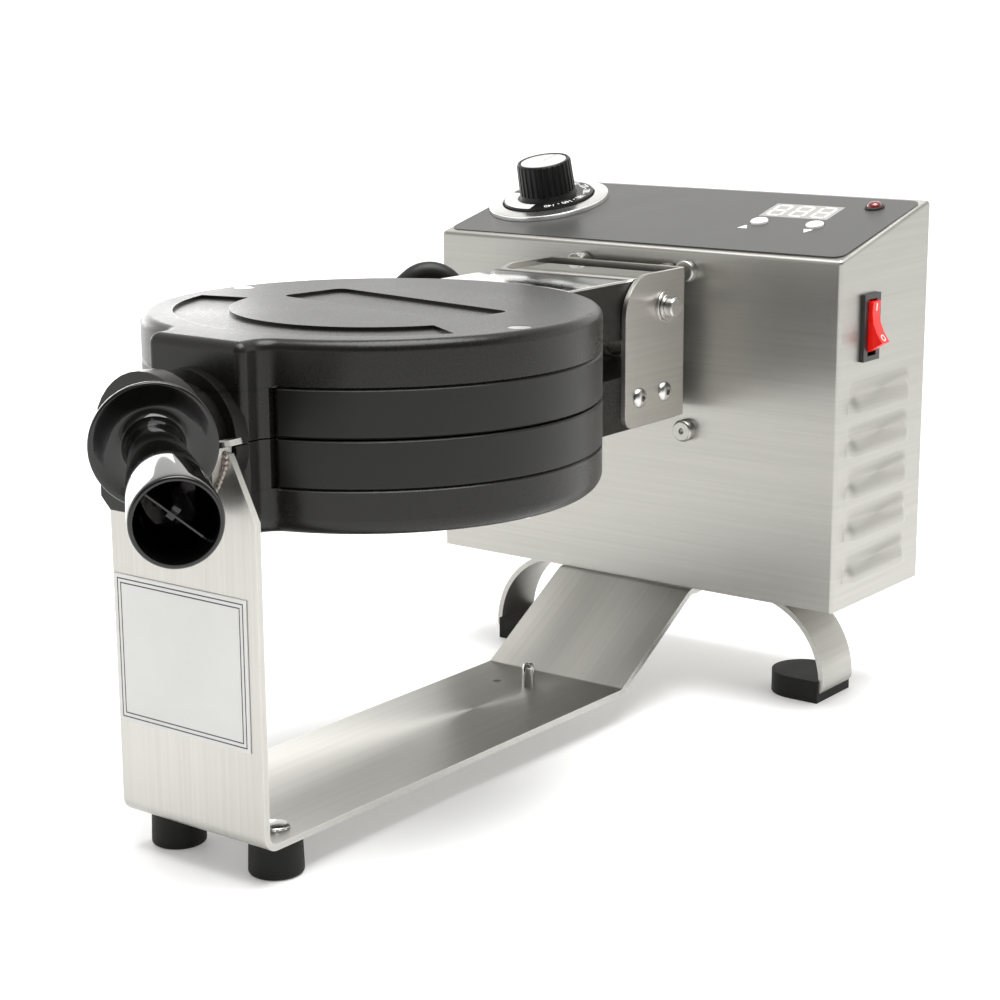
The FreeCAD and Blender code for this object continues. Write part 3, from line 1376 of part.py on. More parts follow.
drum = turned(
    "drum_turned",
    [
        ("3.06", "-10"),
        ("3.06", "-0.4"),
        ("5.3", "-0.4"),
        ("5.3", "-1.2"),
        ("9", "-1.2"),
        ("9", "-6"),
        ("17", "-6"),
        ("17", "-36"),
        ("0", "-36"),
        ("0", "-14"),
        ("3.06", "-14"),
    ],
)
node(on_panel("thermostat_body_set", set_at(drum, DIAL)), "thermostat_body")

display = block(
    "display_block",
    ("window_x-window_wide/2+0.2", "window_x+window_wide/2-0.2"),
    ("window_along-window_deep/2+0.2", "window_along+window_deep/2-0.2"),
    ("-10", f"{PT}-0.1"),
)
node(on_panel("display_module_body", display), "display_module")
board = block(
    "board_block",
    ("button_left-14", "button_right+10"),
    ("button_along-9", "window_along+window_deep/2+6"),
    ("-11.6", "-10"),
)
node(on_panel("timer_board_body", board), "timer_board")
buzzer_rod = rod("buzzer_rod", "6", "z", ("window_x", "window_along"), ("-19", "-11.6"))
node(on_panel("buzzer_body", buzzer_rod), "buzzer")
for name, place in (("time_down_button", "button_left"), ("time_up_button", "button_right")):
    press = turned(
        name + "_turned",
        [
            ("0", "-9.1"),
            ("2", "-9.1"),
            ("2", "-3.2"),
            ("6.4", "-3.2"),
            ("6.4", "-1.6"),
            ("button_radius", "-1.6"),
            ("button_radius", "1.5"),
            ("button_radius-0.6", "2"),
            ("0", "2.1"),
        ],
    )
    node(on_panel(name + "_body", set_at(press, (place, "button_along", "0"))), name)
lens = turned(
    "lamp_turned",
    [
        ("0", "-12"),
        ("4", "-12"),
        ("4", PT),
        ("5", PT),
        ("5", "1.4"),
        ("4.3", "2.6"),
        ("2.6", "3.6"),
        ("0", "4"),
    ],
)
node(on_panel("indicator_lamp_body", set_at(lens, ("lamp_x", "lamp_along", "0"))), "indicator_lamp")

# Rocker switch on the right side.
frame_face = block(
    "frame_face",
    (HALF_BOX, f"{HALF_BOX}+2.4"),
    (f"{ROCKER_Y}-8.05", f"{ROCKER_Y}+8.05"),
    (f"{ROCKER_Z}-16.25", f"{ROCKER_Z}+16.25"),
)
frame_back = block(
    "frame_back",
    (f"{HALF_BOX}-22", f"{HALF_BOX}+1"),
    (f"{ROCKER_Y}-6.6", f"{ROCKER_Y}+6.6"),
    (f"{ROCKER_Z}-15", f"{ROCKER_Z}+15"),
)
frame_room = block(
    "frame_room",
    (f"{HALF_BOX}-10", f"{HALF_BOX}+9"),
    (f"{ROCKER_Y}-4.2", f"{ROCKER_Y}+4.2"),
    (f"{ROCKER_Z}-13.7", f"{ROCKER_Z}+13.7"),
)
pivot_bore = rod(
    "pivot_bore", "1.56", "y", (PIVOT_X, ROCKER_Z), (f"{ROCKER_Y}-5.7", f"{ROCKER_Y}+5.7")
)
tabs = []
for i, up in enumerate((-10, 0, 10)):
    tabs.append(
        block(
            f"tab_{i}",
            (f"{HALF_BOX}-31", f"{HALF_BOX}-21"),
            (f"{ROCKER_Y}-3", f"{ROCKER_Y}+3"),
            (f"{ROCKER_Z}+{up}-0.4", f"{ROCKER_Z}+{up}+0.4"),
        )
    )
frame_solid = join("frame_solid", frame_face, frame_back, *tabs)
node(cut("rocker_housing_body", frame_solid, frame_room, pivot_bore), "rocker_housing")
rocker_line = [
    ("-4", "-7"),
    ("2.75", "-12.9"),
    ("11.3", "-10.2"),
    ("9.5", "-5"),
    ("8.8", "0"),
    ("9.5", "5"),
    ("11.3", "10.2"),
    ("2.75", "12.9"),
    ("-4", "7"),
]
paddle = prism("paddle", "XZ_Plane", rocker_line, "-3.85", "7.7")
pivot = rod("pivot", "1.5", "y", ("0", "0"), ("-5.5", "5.5"))
rocker = placed(
    "switch_rocker_body",
    join("rocker_whole", paddle, pivot),
    (PIVOT_X, ROCKER_Y, ROCKER_Z),
    Rotation(Vector(0, 1, 0), -value("rocker_tilt")),
)
node(rocker, "switch_rocker")

terminals = block(
    "terminal_block_body",
    ("-85", "-50"),
    (f"{BB}-40", f"{BB}-22"),
    ("box_bottom+box_sheet", "box_bottom+box_sheet+16"),
)
node(terminals, "terminal_block")

# Check everything, then write one file per piece.
doc.recompute()
faults = []
for item in doc.Objects:
    if "Invalid" in item.State or "Error" in item.State:
        faults.append(f"{item.Name}: {item.State}")
for item in NODES:
    if item.Shape.isNull() or not item.Shape.isValid() or not item.Shape.Solids:
        faults.append(f"{item.Label}: no sound shape")
if faults:
    raise RuntimeError("; ".join(faults))
os.makedirs("parts", exist_ok=True)
for item in NODES:
    item.Shape.exportStep(f"parts/{item.Label}.step")
print(len(NODES), "pieces written")
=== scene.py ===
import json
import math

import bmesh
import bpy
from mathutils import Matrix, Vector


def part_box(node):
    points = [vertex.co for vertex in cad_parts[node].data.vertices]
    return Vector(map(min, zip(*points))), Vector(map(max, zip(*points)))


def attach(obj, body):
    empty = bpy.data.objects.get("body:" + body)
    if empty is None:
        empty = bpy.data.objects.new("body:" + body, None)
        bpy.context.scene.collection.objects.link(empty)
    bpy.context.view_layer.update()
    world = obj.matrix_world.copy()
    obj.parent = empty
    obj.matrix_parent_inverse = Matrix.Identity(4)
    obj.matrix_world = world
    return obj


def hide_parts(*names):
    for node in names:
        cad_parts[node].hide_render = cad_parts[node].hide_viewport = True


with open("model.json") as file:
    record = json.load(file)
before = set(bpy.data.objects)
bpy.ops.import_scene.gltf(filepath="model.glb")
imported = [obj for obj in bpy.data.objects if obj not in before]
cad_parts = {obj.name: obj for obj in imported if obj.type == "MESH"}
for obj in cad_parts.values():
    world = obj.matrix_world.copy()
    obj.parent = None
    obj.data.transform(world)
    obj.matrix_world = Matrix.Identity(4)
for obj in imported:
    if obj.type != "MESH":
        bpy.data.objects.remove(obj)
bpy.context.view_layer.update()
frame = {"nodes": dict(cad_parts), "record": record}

# %% [markdown]
# # Rotary waffle baker
# The construction of this baker is already fixed: its pieces, sizes and joints came in with the
# frame. What is left is what the eye sees: rounded sheet edges, pressed louvres, printed numbers
# and the finish of each metal, casting and plastic. Every piece stays in the shared frame, in
# metres, with +Z up and the front towards -Y.

nodes = frame["nodes"]
body_of_node = {n: b for b, members in frame["record"]["behaviour"]["bodies"].items() for n in members}
slot_of_node = {s["node"]: s["material_slot"] for s in frame["record"]["subparts"]}

# %% [markdown]
# ## Handling pieces
# Operators act on whatever is selected, and the frame arrives selected. So each piece is taken in
# hand first: everything is let go, and only that piece is chosen. A finished piece has its place
# in its mesh and its object at the origin, so patterns that read object coordinates stay put.

# %% Taking a piece in hand
MM = 0.001
MERGE_GAP = 0.01 * MM


def let_go():
    if bpy.context.object and bpy.context.object.mode != "OBJECT":
        bpy.ops.object.mode_set(mode="OBJECT")
    bpy.ops.object.select_all(action="DESELECT")


def take(*pieces):
    let_go()
    for piece in pieces:
        piece.select_set(True)
    bpy.context.view_layer.objects.active = pieces[0]


def settle(piece):
    take(piece)
    bpy.ops.object.transform_apply(location=True, rotation=True, scale=True)
    return piece


def into_edit(piece):
    take(piece)
    bpy.ops.object.mode_set(mode="EDIT")
    bpy.ops.mesh.select_mode(type="VERT")
    bpy.ops.mesh.select_all(action="DESELECT")


def choose(piece, kind, test):
    """In edit mode, select the vertices, edges or faces that the test accepts."""
    bpy.ops.mesh.select_mode(type=kind)
    bpy.ops.mesh.select_all(action="DESELECT")
    mesh = bmesh.from_edit_mesh(piece.data)
    for item in {"VERT": mesh.verts, "EDGE": mesh.edges, "FACE": mesh.faces}[kind]:
        if test(item):
            item.select_set(True)
    mesh.select_flush_mode()
    bmesh.update_edit_mesh(piece.data)


def clean(piece, gap=MERGE_GAP):
    """Merge doubles and turn every face outwards."""
    into_edit(piece)
    bpy.ops.mesh.select_all(action="SELECT")
    bpy.ops.mesh.remove_doubles(threshold=gap)
    bpy.ops.mesh.normals_make_consistent(inside=False)
    bpy.ops.object.mode_set(mode="OBJECT")
    return piece


def add_modifier(piece, kind, **settings):
    take(piece)
    bpy.ops.object.modifier_add(type=kind)
    modifier = piece.modifiers[-1]
    for name, value in settings.items():
        setattr(modifier, name, value)
    bpy.ops.object.modifier_apply(modifier=modifier.name)
    return piece


def smooth(piece, angle=32):
    """Smooth shading up to an angle, with normals that follow the large faces."""
    take(piece)
    bpy.ops.object.shade_smooth_by_angle(angle=math.radians(angle))
    return add_modifier(piece, "WEIGHTED_NORMAL", keep_sharp=True)


def stood(piece, place):
    """Carry a piece made at the origin to its place."""
    settle(piece)
    piece.matrix_world = place
    return settle(piece)


def copied(piece, shift=(0, 0, 0), flip=False):
    """A copy with a mesh of its own, moved by a shift in millimetres or mirrored in x."""
    take(piece)
    bpy.ops.object.duplicate(linked=False)
    twin = bpy.context.object
    twin.location = Vector(shift) * MM
    if flip:
        twin.scale.x = -1
    settle(twin)
    return clean(twin) if flip else twin


def joined(*pieces):
    take(*pieces)
    if len(pieces) > 1:
        bpy.ops.object.join()
    return bpy.context.object


def cut_away(piece, *tools):
    tool = joined(*tools)
    add_modifier(piece, "BOOLEAN", operation="DIFFERENCE", solver="EXACT", object=tool)
    bpy.data.objects.remove(tool)
    return piece


def rod(radius, depth, place, sides=48):
    let_go()
    bpy.ops.mesh.primitive_cylinder_add(vertices=sides, radius=radius * MM, depth=depth * MM)
    return stood(bpy.context.object, place)


def block(size, place):
    let_go()
    bpy.ops.mesh.primitive_cube_add(size=1, scale=[side * MM for side in size])
    return stood(bpy.context.object, place)


def at(x, y, z, turn=0, axis="Z"):
    """A place in millimetres, with a turn in degrees about one axis."""
    return Matrix.Translation(Vector((x, y, z)) * MM) @ Matrix.Rotation(math.radians(turn), 4, axis)


# %% [markdown]
# Round pieces are turned, on a lathe or in a mould cut on one. Here one vertex is drawn out into the
# piece's outline, half of its section, and that outline is spun about Z. The seam and the points on
# the axis come out double, so they are merged before anything else is done.

# %% Turning a piece
def drawn_line(points):
    """One vertex drawn out along the points, left in edit mode with the whole line selected."""
    let_go()
    bpy.ops.mesh.primitive_plane_add(size=MM)
    bpy.ops.object.mode_set(mode="EDIT")
    bpy.ops.mesh.select_mode(type="VERT")
    bpy.ops.mesh.select_all(action="SELECT")
    bpy.ops.mesh.merge(type="CENTER")
    bpy.ops.transform.translate(value=points[0])
    for a, b in zip(points, points[1:]):
        bpy.ops.mesh.extrude_region_move(TRANSFORM_OT_translate={"value": b - a})
    bpy.ops.mesh.select_all(action="SELECT")
    return bpy.context.object


def turned(outline, steps=64, turn=360):
    """Spin an outline of (radius, height) pairs in millimetres about Z."""
    piece = drawn_line([Vector((r, 0, h)) * MM for r, h in outline])
    bpy.ops.mesh.spin(steps=steps, angle=math.radians(turn), center=(0, 0, 0), axis=(0, 0, 1))
    bpy.ops.object.mode_set(mode="OBJECT")
    return clean(piece)


def carried(piece, name, body, slot, material, *stands_for):
    """Give a finished piece its name, body and finish, and say which frame pieces it replaces; its slot is not
    used.
    """
    piece.name = name
    piece.data.name = name
    piece.data.materials.clear()
    piece.data.materials.append(material)
    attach(piece, body)
    if stands_for:
        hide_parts(*stands_for)
    print(name, len(piece.data.polygons), "faces on", body)
    return piece


# %% [markdown]
# ## Writing a finish as sums
# A finish is a recipe over the surface: grain plus smudges, minus what the edges lose to wear.
# It is easiest to read as arithmetic, so one small class holds a node's output and turns Python's
# operators into Math nodes. All other nodes come from its one method.

# %% The arithmetic of a finish
class Field:
    """One output in a node tree: a value or colour that varies over the surface."""

    def __init__(self, tree, socket=None):
        self.tree = tree
        self.socket = socket

    def node(self, kind, settings=None, sockets=None, output=0):
        made = self.tree.nodes.new(kind)
        for name, value in (settings or {}).items():
            setattr(made, name, value)
        for key, value in (sockets or {}).items():
            if isinstance(value, Field):
                self.tree.links.new(value.socket, made.inputs[key])
            else:
                made.inputs[key].default_value = value
        return Field(self.tree, made.outputs[output])

    def sums(self, operation, first, second=0.0):
        return self.node("ShaderNodeMath", {"operation": operation}, {0: first, 1: second})

    def __add__(self, other):
        return self.sums("ADD", self, other)

    __radd__ = __add__

    def __sub__(self, other):
        return self.sums("SUBTRACT", self, other)

    def __rsub__(self, other):
        return self.sums("SUBTRACT", other, self)

    def __mul__(self, other):
        return self.sums("MULTIPLY", self, other)

    __rmul__ = __mul__

    def __abs__(self):
        return self.sums("ABSOLUTE", self)

    def below(self, limit):
        return self.sums("LESS_THAN", self, limit)

    def above(self, limit):
        return self.sums("GREATER_THAN", self, limit)

    def held(self):
        return self.node("ShaderNodeClamp", None, {"Value": self})

    def spread(self, low, high):
        """Stretch the part of the field between low and high to run from 0 to 1."""
        return self.node("ShaderNodeMapRange", None, {"Value": self, "From Min": low, "From Max": high})


# %% [markdown]
# Most finishes need the same few ingredients: the place on the piece, noise at a chosen grain size,
# the same noise drawn out along one direction, and a mask that rises along edges. The edge mask
# compares the true normal with one that has been rounded over a small radius: they differ only
# near an edge, which is where handling polishes a coat or a sheet.

# %% Ingredients of a finish
OBJECT_PLACE, TRUE_NORMAL = 3, 1


class Finish:
    """A material in the making, with its Principled shader and the places it can read."""

    def __init__(self, name):
        self.material = bpy.data.materials.new(name)
        self.material.use_nodes = True
        tree = self.material.node_tree
        self.shader = next(n for n in tree.nodes if n.type == "BSDF_PRINCIPLED")
        self.start = Field(tree)
        self.place = self.start.node("ShaderNodeTexCoord", output=OBJECT_PLACE)

    def set(self, **values):
        for name, value in values.items():
            socket = self.shader.inputs[name.replace("_", " ")]
            if isinstance(value, Field):
                self.start.tree.links.new(value.socket, socket)
            else:
                socket.default_value = value

    def moved(self, centre=(0, 0, 0), turn=(0, 0, 0), scale=(1, 1, 1)):
        return self.start.node(
            "ShaderNodeMapping",
            {"vector_type": "TEXTURE"},
            {"Vector": self.place, "Location": centre, "Rotation": turn, "Scale": scale},
        )

    def noise(self, size, detail=2.0, rough=0.5, place=None):
        return self.start.node(
            "ShaderNodeTexNoise",
            None,
            {"Vector": place or self.place, "Scale": 1 / size, "Detail": detail, "Roughness": rough},
        )

    def grain(self, across, fine, length=90 * MM, detail=3.0):
        """Noise that is fine across x, y or z and drawn out the other ways: long streaks."""
        scale = [length, length, length]
        scale["xyz".index(across)] = fine
        return self.noise(1.0, detail, 0.6, self.moved(scale=tuple(scale)))

    def along(self, letter):
        return self.start.node("ShaderNodeSeparateXYZ", None, {0: self.place}, "xyz".index(letter))

    def vectors(self, operation, first, second=(0, 0, 0), output=0):
        return self.start.node("ShaderNodeVectorMath", {"operation": operation}, {0: first, 1: second}, output)

    def edges(self, radius):
        rounded = self.start.node("ShaderNodeBevel", {"samples": 4}, {"Radius": radius})
        true = self.start.node("ShaderNodeNewGeometry", output=TRUE_NORMAL)
        level = self.vectors("DOT_PRODUCT", rounded, true, 1)
        return ((1 - level) * 5).held()

    def mix(self, amount, first, second):
        ends = [end if isinstance(end, Field) else (*end, 1) for end in (first, second)]
        return self.start.node("ShaderNodeMix", {"data_type": "RGBA"}, {0: amount, 6: ends[0], 7: ends[1]}, 2)

    def bump(self, height, depth):
        return self.start.node("ShaderNodeBump", None, {"Height": height, "Strength": 1.0, "Distance": depth})


finishes = {}


def keep(name, finish):
    finishes[name] = finish.material
    print("finish", name, "with", len(finish.material.node_tree.nodes), "nodes")


# %% [markdown]
# ## Brushed steel
# The box, the bent strip and the hinge bracket are stainless sheet, brushed with a belt. The belt
# leaves long scratches in one direction, which blur reflections across the grain and keep them
# sharp along it. The shader's anisotropy does the blur: left to itself it runs level round the
# piece, which suits the box, and a quarter turn makes it run along the strip. Fine noise drawn out
# along the grain adds the scratches themselves, and broad smudges and brighter folded edges keep
# the sheet from looking like one even grey.

# %% Brushed steels
NO_TURN, QUARTER_TURN = 0.0, 0.25


def brushed_steel(name, across, dark, light, rough, depth, turn):
    steel = Finish(name)
    streak = steel.grain(across, 0.35 * MM)
    broad = steel.grain(across, 2.4 * MM, 160 * MM, 2.0)
    smudge = steel.noise(70 * MM, 3.0)
    edge = steel.edges(1.0 * MM)
    tone = (streak.spread(0.3, 0.7) * 0.35 + broad.spread(0.3, 0.7) * 0.35 + smudge * 0.3).held()
    roughness = rough + (streak - 0.5) * 0.10 + (smudge - 0.5) * 0.10 - edge * 0.08
    steel.set(
        Base_Color=steel.mix((tone + edge * 0.5).held(), dark, light),
        Metallic=1.0,
        Roughness=roughness.held(),
        Anisotropic=0.75,
        Anisotropic_Rotation=turn,
        Normal=steel.bump(streak * 0.7 + broad * 0.3, depth),
    )
    return steel


# Each steel: the way across its grain, dark, light, roughness, depth of the scratches, their turn.
STEELS = {
    "box_steel": ("z", (0.38, 0.373, 0.35), (0.48, 0.471, 0.443), 0.36, 0.002 * MM, NO_TURN),
    "arm_steel": ("x", (0.43, 0.421, 0.396), (0.55, 0.539, 0.509), 0.34, 0.002 * MM, QUARTER_TURN),
    "bracket_steel": ("z", (0.42, 0.405, 0.375), (0.52, 0.505, 0.475), 0.36, 0.001 * MM, NO_TURN),
    "fastener_steel": ("z", (0.50, 0.49, 0.47), (0.66, 0.65, 0.63), 0.22, 0.001 * MM, NO_TURN),
    "heater_steel": ("x", (0.22, 0.19, 0.17), (0.40, 0.36, 0.33), 0.42, 0.012 * MM, NO_TURN),
}
for name, recipe in STEELS.items():
    keep(name, brushed_steel(name, *recipe))

# %% [markdown]
# ## Polished and turned bright metal
# The cover over the rear arm is polished to a mirror, so it keeps only faint wiping scratches. The
# dial ring is satin all round, and the knob's cap is spun: its marks run in circles, so they are
# drawn from the distance to the dial's centre on the sloping panel.

# %% Mirror, satin ring, spun cap and bronze
BOX_LOW, BOX_RISE, BOX_FRONT = 56, 21.5, 168
BOX_SIZE = (240, 89, 171.5)
SLOPE = math.atan2(BOX_RISE, BOX_SIZE[1])
PANEL = at(0, BOX_FRONT, BOX_LOW + BOX_SIZE[2]) @ Matrix.Rotation(SLOPE, 4, "X")
DIAL_AT = (-86, 52.5)


def on_slope(x, along, out=0.0, turn=0):
    """A place on the sloping panel, from millimetres across, up the slope and out of it."""
    return PANEL @ at(x, along, out, turn)


def bright_metal(name, dark, light, rough, wander):
    metal = Finish(name)
    wipe = metal.grain("y", 0.5 * MM, 25 * MM)
    cloud = metal.noise(35 * MM, 4.0)
    edge = metal.edges(0.6 * MM)
    metal.set(
        Base_Color=metal.mix((cloud * 0.7 + edge * 0.4).held(), dark, light),
        Metallic=1.0,
        Roughness=(rough + (wipe - 0.5) * wander + (cloud - 0.5) * wander * 0.6).held(),
        Normal=metal.bump(wipe, 0.0004 * MM),
    )
    return metal


def spun_metal(name, dark, light, rough):
    metal = Finish(name)
    local = metal.moved(tuple(on_slope(*DIAL_AT).translation), (SLOPE, 0, 0))
    flat = metal.vectors("MULTIPLY", local, (1, 1, 0))
    reach = metal.vectors("LENGTH", flat, output=1)
    wobble = metal.noise(0.4 * MM, 1.0, 0.5, local)
    pitch = 0.5 * MM
    lines = reach.sums("SINE", reach * (2 * math.pi / pitch) + wobble * 2)
    metal.set(
        Base_Color=metal.mix((lines * 0.25 + 0.5 + (wobble - 0.5) * 0.3).held(), dark, light),
        Metallic=1.0,
        Roughness=(rough + lines * 0.05 + (wobble - 0.5) * 0.1).held(),
        Normal=metal.bump(lines, 0.004 * MM),
    )
    return metal


keep("trim_bright", bright_metal("trim_bright", (0.88, 0.88, 0.87), (0.95, 0.95, 0.94), 0.04, 0.03))
keep("bezel_bright", spun_metal("bezel_bright", (0.82, 0.82, 0.81), (0.93, 0.93, 0.92), 0.24))
keep("cap_bright", spun_metal("cap_bright", (0.86, 0.86, 0.85), (0.95, 0.95, 0.94), 0.20))
keep("bearing_bronze", bright_metal("bearing_bronze", (0.45, 0.29, 0.12), (0.64, 0.44, 0.22), 0.34, 0.16))

# %% [markdown]
# ## Black castings
# The two covers and the two grid plates are cast metal under a baked black coat. Close up the coat
# is a fine even grain, a little duller in the hollows, and it has gone paler where hands and tools
# reach: along the rims. Two noises do the grain, one much finer than the other, and the edge mask
# does the wear. A thin dark line is painted at the height of each seam where a cover meets its
# plate: painted shade, for the shadow in the gap.

# %% Cast and coated black
UPPER_SEAM, LOWER_SEAM = 200.7, 160.3
# Painted shade: a thin dark line at the height of each seam, for the shadow in the gap where a cover meets its
# plate.
SEAM_SHADE_REACH = 0.5 * MM
SEAM_SHADE = (0.003, 0.003, 0.003)


def black_coat(name, deep, pale, rough, grain, depth, worn):
    coat = Finish(name)
    fine = coat.noise(grain, 3.0, 0.6)
    coarse = coat.noise(grain * 7, 2.0)
    cloud = coat.noise(55 * MM, 3.0)
    edge = (coat.edges(1.4 * MM) * (0.4 + coarse)).held()
    tone = (fine * 0.5 + cloud * 0.5).spread(0.3, 0.7).held()
    height = coat.along("z")
    # Bands at the two seam heights, darkened as painted shade.
    upper, lower = (abs(height - seam * MM).below(SEAM_SHADE_REACH) for seam in (UPPER_SEAM, LOWER_SEAM))
    body = coat.mix(tone, deep, pale)
    worn_body = coat.mix((edge * worn).held(), body, tuple(c * 3.2 for c in pale))
    coat.set(
        Base_Color=coat.mix((upper + lower).held(), worn_body, SEAM_SHADE),
        Metallic=0.0,
        Specular_IOR_Level=0.34,
        Roughness=(rough + (fine - 0.5) * 0.18 + (cloud - 0.5) * 0.12 - edge * 0.08).held(),
        Normal=coat.bump(fine * 0.6 + coarse * 0.4, depth),
    )
    return coat


# Each coat: deep, pale, roughness, size of the grain, its depth, how much the rims have worn.
COATS = {
    "cast_black": ((0.0042, 0.0039, 0.0031), (0.009, 0.0085, 0.007), 0.30, 1.0 * MM, 0.06 * MM, 0.30),
    "plate_black": ((0.0025, 0.0024, 0.002), (0.0055, 0.0053, 0.0046), 0.38, 0.45 * MM, 0.04 * MM, 0.25),
    "conduit_black": ((0.006, 0.0058, 0.0052), (0.012, 0.0116, 0.0105), 0.46, 0.7 * MM, 0.05 * MM, 0.3),
}
for name, recipe in COATS.items():
    keep(name, black_coat(name, *recipe))

# %% [markdown]
# ## Plastics and rubber
# Moulded plastic shows what it was moulded in: the grip and the rocker came out of polished tools,
# the dial skirt and the switch frame out of blasted ones, and rubber is dull with a slight bloom.
# The same recipe covers them all, with its own grain, gloss and depth of colour.

# %% Moulded plastics
def moulded(name, deep, pale, rough, grain, depth, coat=0.0, worn=0.3, lift=2.2, shine=0.5):
    plastic = Finish(name)
    fine = plastic.noise(grain * MM, 2.0)
    cloud = plastic.noise(28 * MM, 4.0)
    edge = plastic.edges(0.7 * MM)
    body = plastic.mix((fine * 0.4 + cloud * 0.6).spread(0.3, 0.7).held(), deep, pale)
    plastic.set(
        Base_Color=plastic.mix((edge * worn).held(), body, tuple(min(1, c * lift) for c in pale)),
        Roughness=(rough * (1 + (cloud - 0.5) * 0.5 + (fine - 0.5) * 0.3)).held(),
        Normal=plastic.bump(fine, depth * MM),
        Specular_IOR_Level=shine,
        Coat_Weight=coat,
        Coat_Roughness=0.03,
    )
    return plastic


# Each plastic: deep, pale, roughness, grain and its depth in millimetres, and what sets it apart.
PLASTICS = {
    "handle_black": ((0.0025, 0.0025, 0.0024), (0.005, 0.005, 0.0048), 0.04, 1.5, 0.0003, {}),
    "knob_black": ((0.004, 0.004, 0.004), (0.008, 0.008, 0.008), 0.38, 0.5, 0.02, {"shine": 0.25}),
    "skirt_black": ((0.005, 0.005, 0.005), (0.010, 0.010, 0.010), 0.30, 0.5, 0.01, {"shine": 0.35}),
    "switch_black": ((0.010, 0.010, 0.010), (0.020, 0.020, 0.021), 0.40, 0.4, 0.03, {}),
    "rubber_black": (
        (0.005, 0.005, 0.0045), (0.010, 0.010, 0.009), 0.60, 0.5, 0.05, {"worn": 0.5, "shine": 0.25},
    ),
    "button_white": ((0.76, 0.76, 0.74), (0.86, 0.86, 0.84), 0.26, 0.8, 0.006, {"coat": 0.2, "lift": 1.1}),
    "switch_red": (
        (0.74, 0.004, 0.002), (0.88, 0.010, 0.005), 0.26, 0.9, 0.006,
        {"coat": 0.1, "worn": 0.2, "lift": 1.2, "shine": 0.35},
    ),
    "lamp_red": ((0.10, 0.006, 0.008), (0.20, 0.012, 0.014), 0.10, 0.6, 0.02, {"coat": 0.8, "lift": 1.8}),
    "display_pale": (
        (0.30, 0.296, 0.285), (0.37, 0.365, 0.35), 0.5, 0.8, 0.004, {"worn": 0.2, "lift": 1.3, "shine": 0.15},
    ),
    "figure_pale": (
        (0.62, 0.62, 0.60), (0.70, 0.70, 0.68), 0.5, 0.8, 0.004, {"worn": 0.2, "lift": 1.1, "shine": 0.15},
    ),
    "board_green": ((0.02, 0.10, 0.04), (0.05, 0.18, 0.08), 0.42, 1.2, 0.02, {}),
    "terminal_white": ((0.66, 0.66, 0.62), (0.78, 0.78, 0.74), 0.44, 0.6, 0.02, {"lift": 1.15}),
    "ink_white": ((0.80, 0.80, 0.78), (0.90, 0.90, 0.88), 0.42, 0.3, 0.006, {"worn": 0.0, "lift": 1.0}),
    "overlay_dark": ((0.052, 0.052, 0.050), (0.072, 0.072, 0.070), 0.36, 0.35, 0.012, {"worn": 0.4}),
}
for name, (*recipe, apart) in PLASTICS.items():
    keep(name, moulded(name, *recipe, **apart))

# %% [markdown]
# ## The blank plate on the upright
# A white film plate is stuck to the upright, with a thin dark line and a second one inside it. The
# lines could be thin solids, but on the real plate they are printed flat, so they belong in the
# finish: the distance from each edge of the plate says where ink lies.

# %% Film with a printed border
LINE_WIDE = 0.55
LINES_IN = (1.7, 3.5)


def bordered_film(name, low, high):
    film = Finish(name)
    x, z = film.along("x"), film.along("z")
    inset_x = (high.x - low.x) / 2 - abs(x - (low.x + high.x) / 2)
    inset_z = (high.z - low.z) / 2 - abs(z - (low.z + high.z) / 2)
    inset = inset_x.sums("MINIMUM", inset_x, inset_z)
    outer, inner = (inset.above(d * MM) * inset.below((d + LINE_WIDE) * MM) for d in LINES_IN)
    speck = film.noise(0.5 * MM, 2.0)
    cloud = film.noise(25 * MM, 3.0)
    paper = film.mix((cloud * 0.7 + speck * 0.3).held(), (0.60, 0.60, 0.59), (0.70, 0.70, 0.69))
    film.set(
        Base_Color=film.mix((outer + inner).held(), paper, (0.02, 0.02, 0.02)),
        Roughness=(0.36 + (cloud - 0.5) * 0.12).held(),
        Normal=film.bump(speck, 0.008 * MM),
    )
    return film


keep("label_white", bordered_film("label_white", *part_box("upright_plate")))

# %% [markdown]
# ## Softened edges
# The frame's pieces have the right shape and size but knife edges, and nothing on a real baker is
# that sharp: sheet is deburred, castings come out of a mould with a radius, plastic has a parting
# edge. A copy of each piece is merged, its flat triangles dissolved into whole faces, and a small
# bevel run along every edge sharper than a chosen angle. The rims where two castings meet get a
# wider one, which is the groove you see round the head. A bevel only takes material away, so the
# piece stays in its own room.

# %% A softened copy of a frame piece
SEAMED = ("upper_cover", "upper_grid_plate", "lower_grid_plate", "lower_cover")
SEAMS = (UPPER_SEAM, 180.8, 180.2, LOWER_SEAM)
SEAM_BEVEL = 0.8 * MM
HEAD_Y, HEAD_RADIUS = -30, 99.2
SHARP = 32


def on_a_seam(edge):
    """True for an edge of the round rim at one of the heights where two castings meet."""
    a, b = (corner.co / MM for corner in edge.verts)
    point = (a + b) / 2
    level = abs(a.z - b.z) < 0.01
    rim = abs(math.hypot(point.x, point.y - HEAD_Y) - HEAD_RADIUS) < 0.35
    return level and rim and any(abs(point.z - seam) < 0.15 for seam in SEAMS)


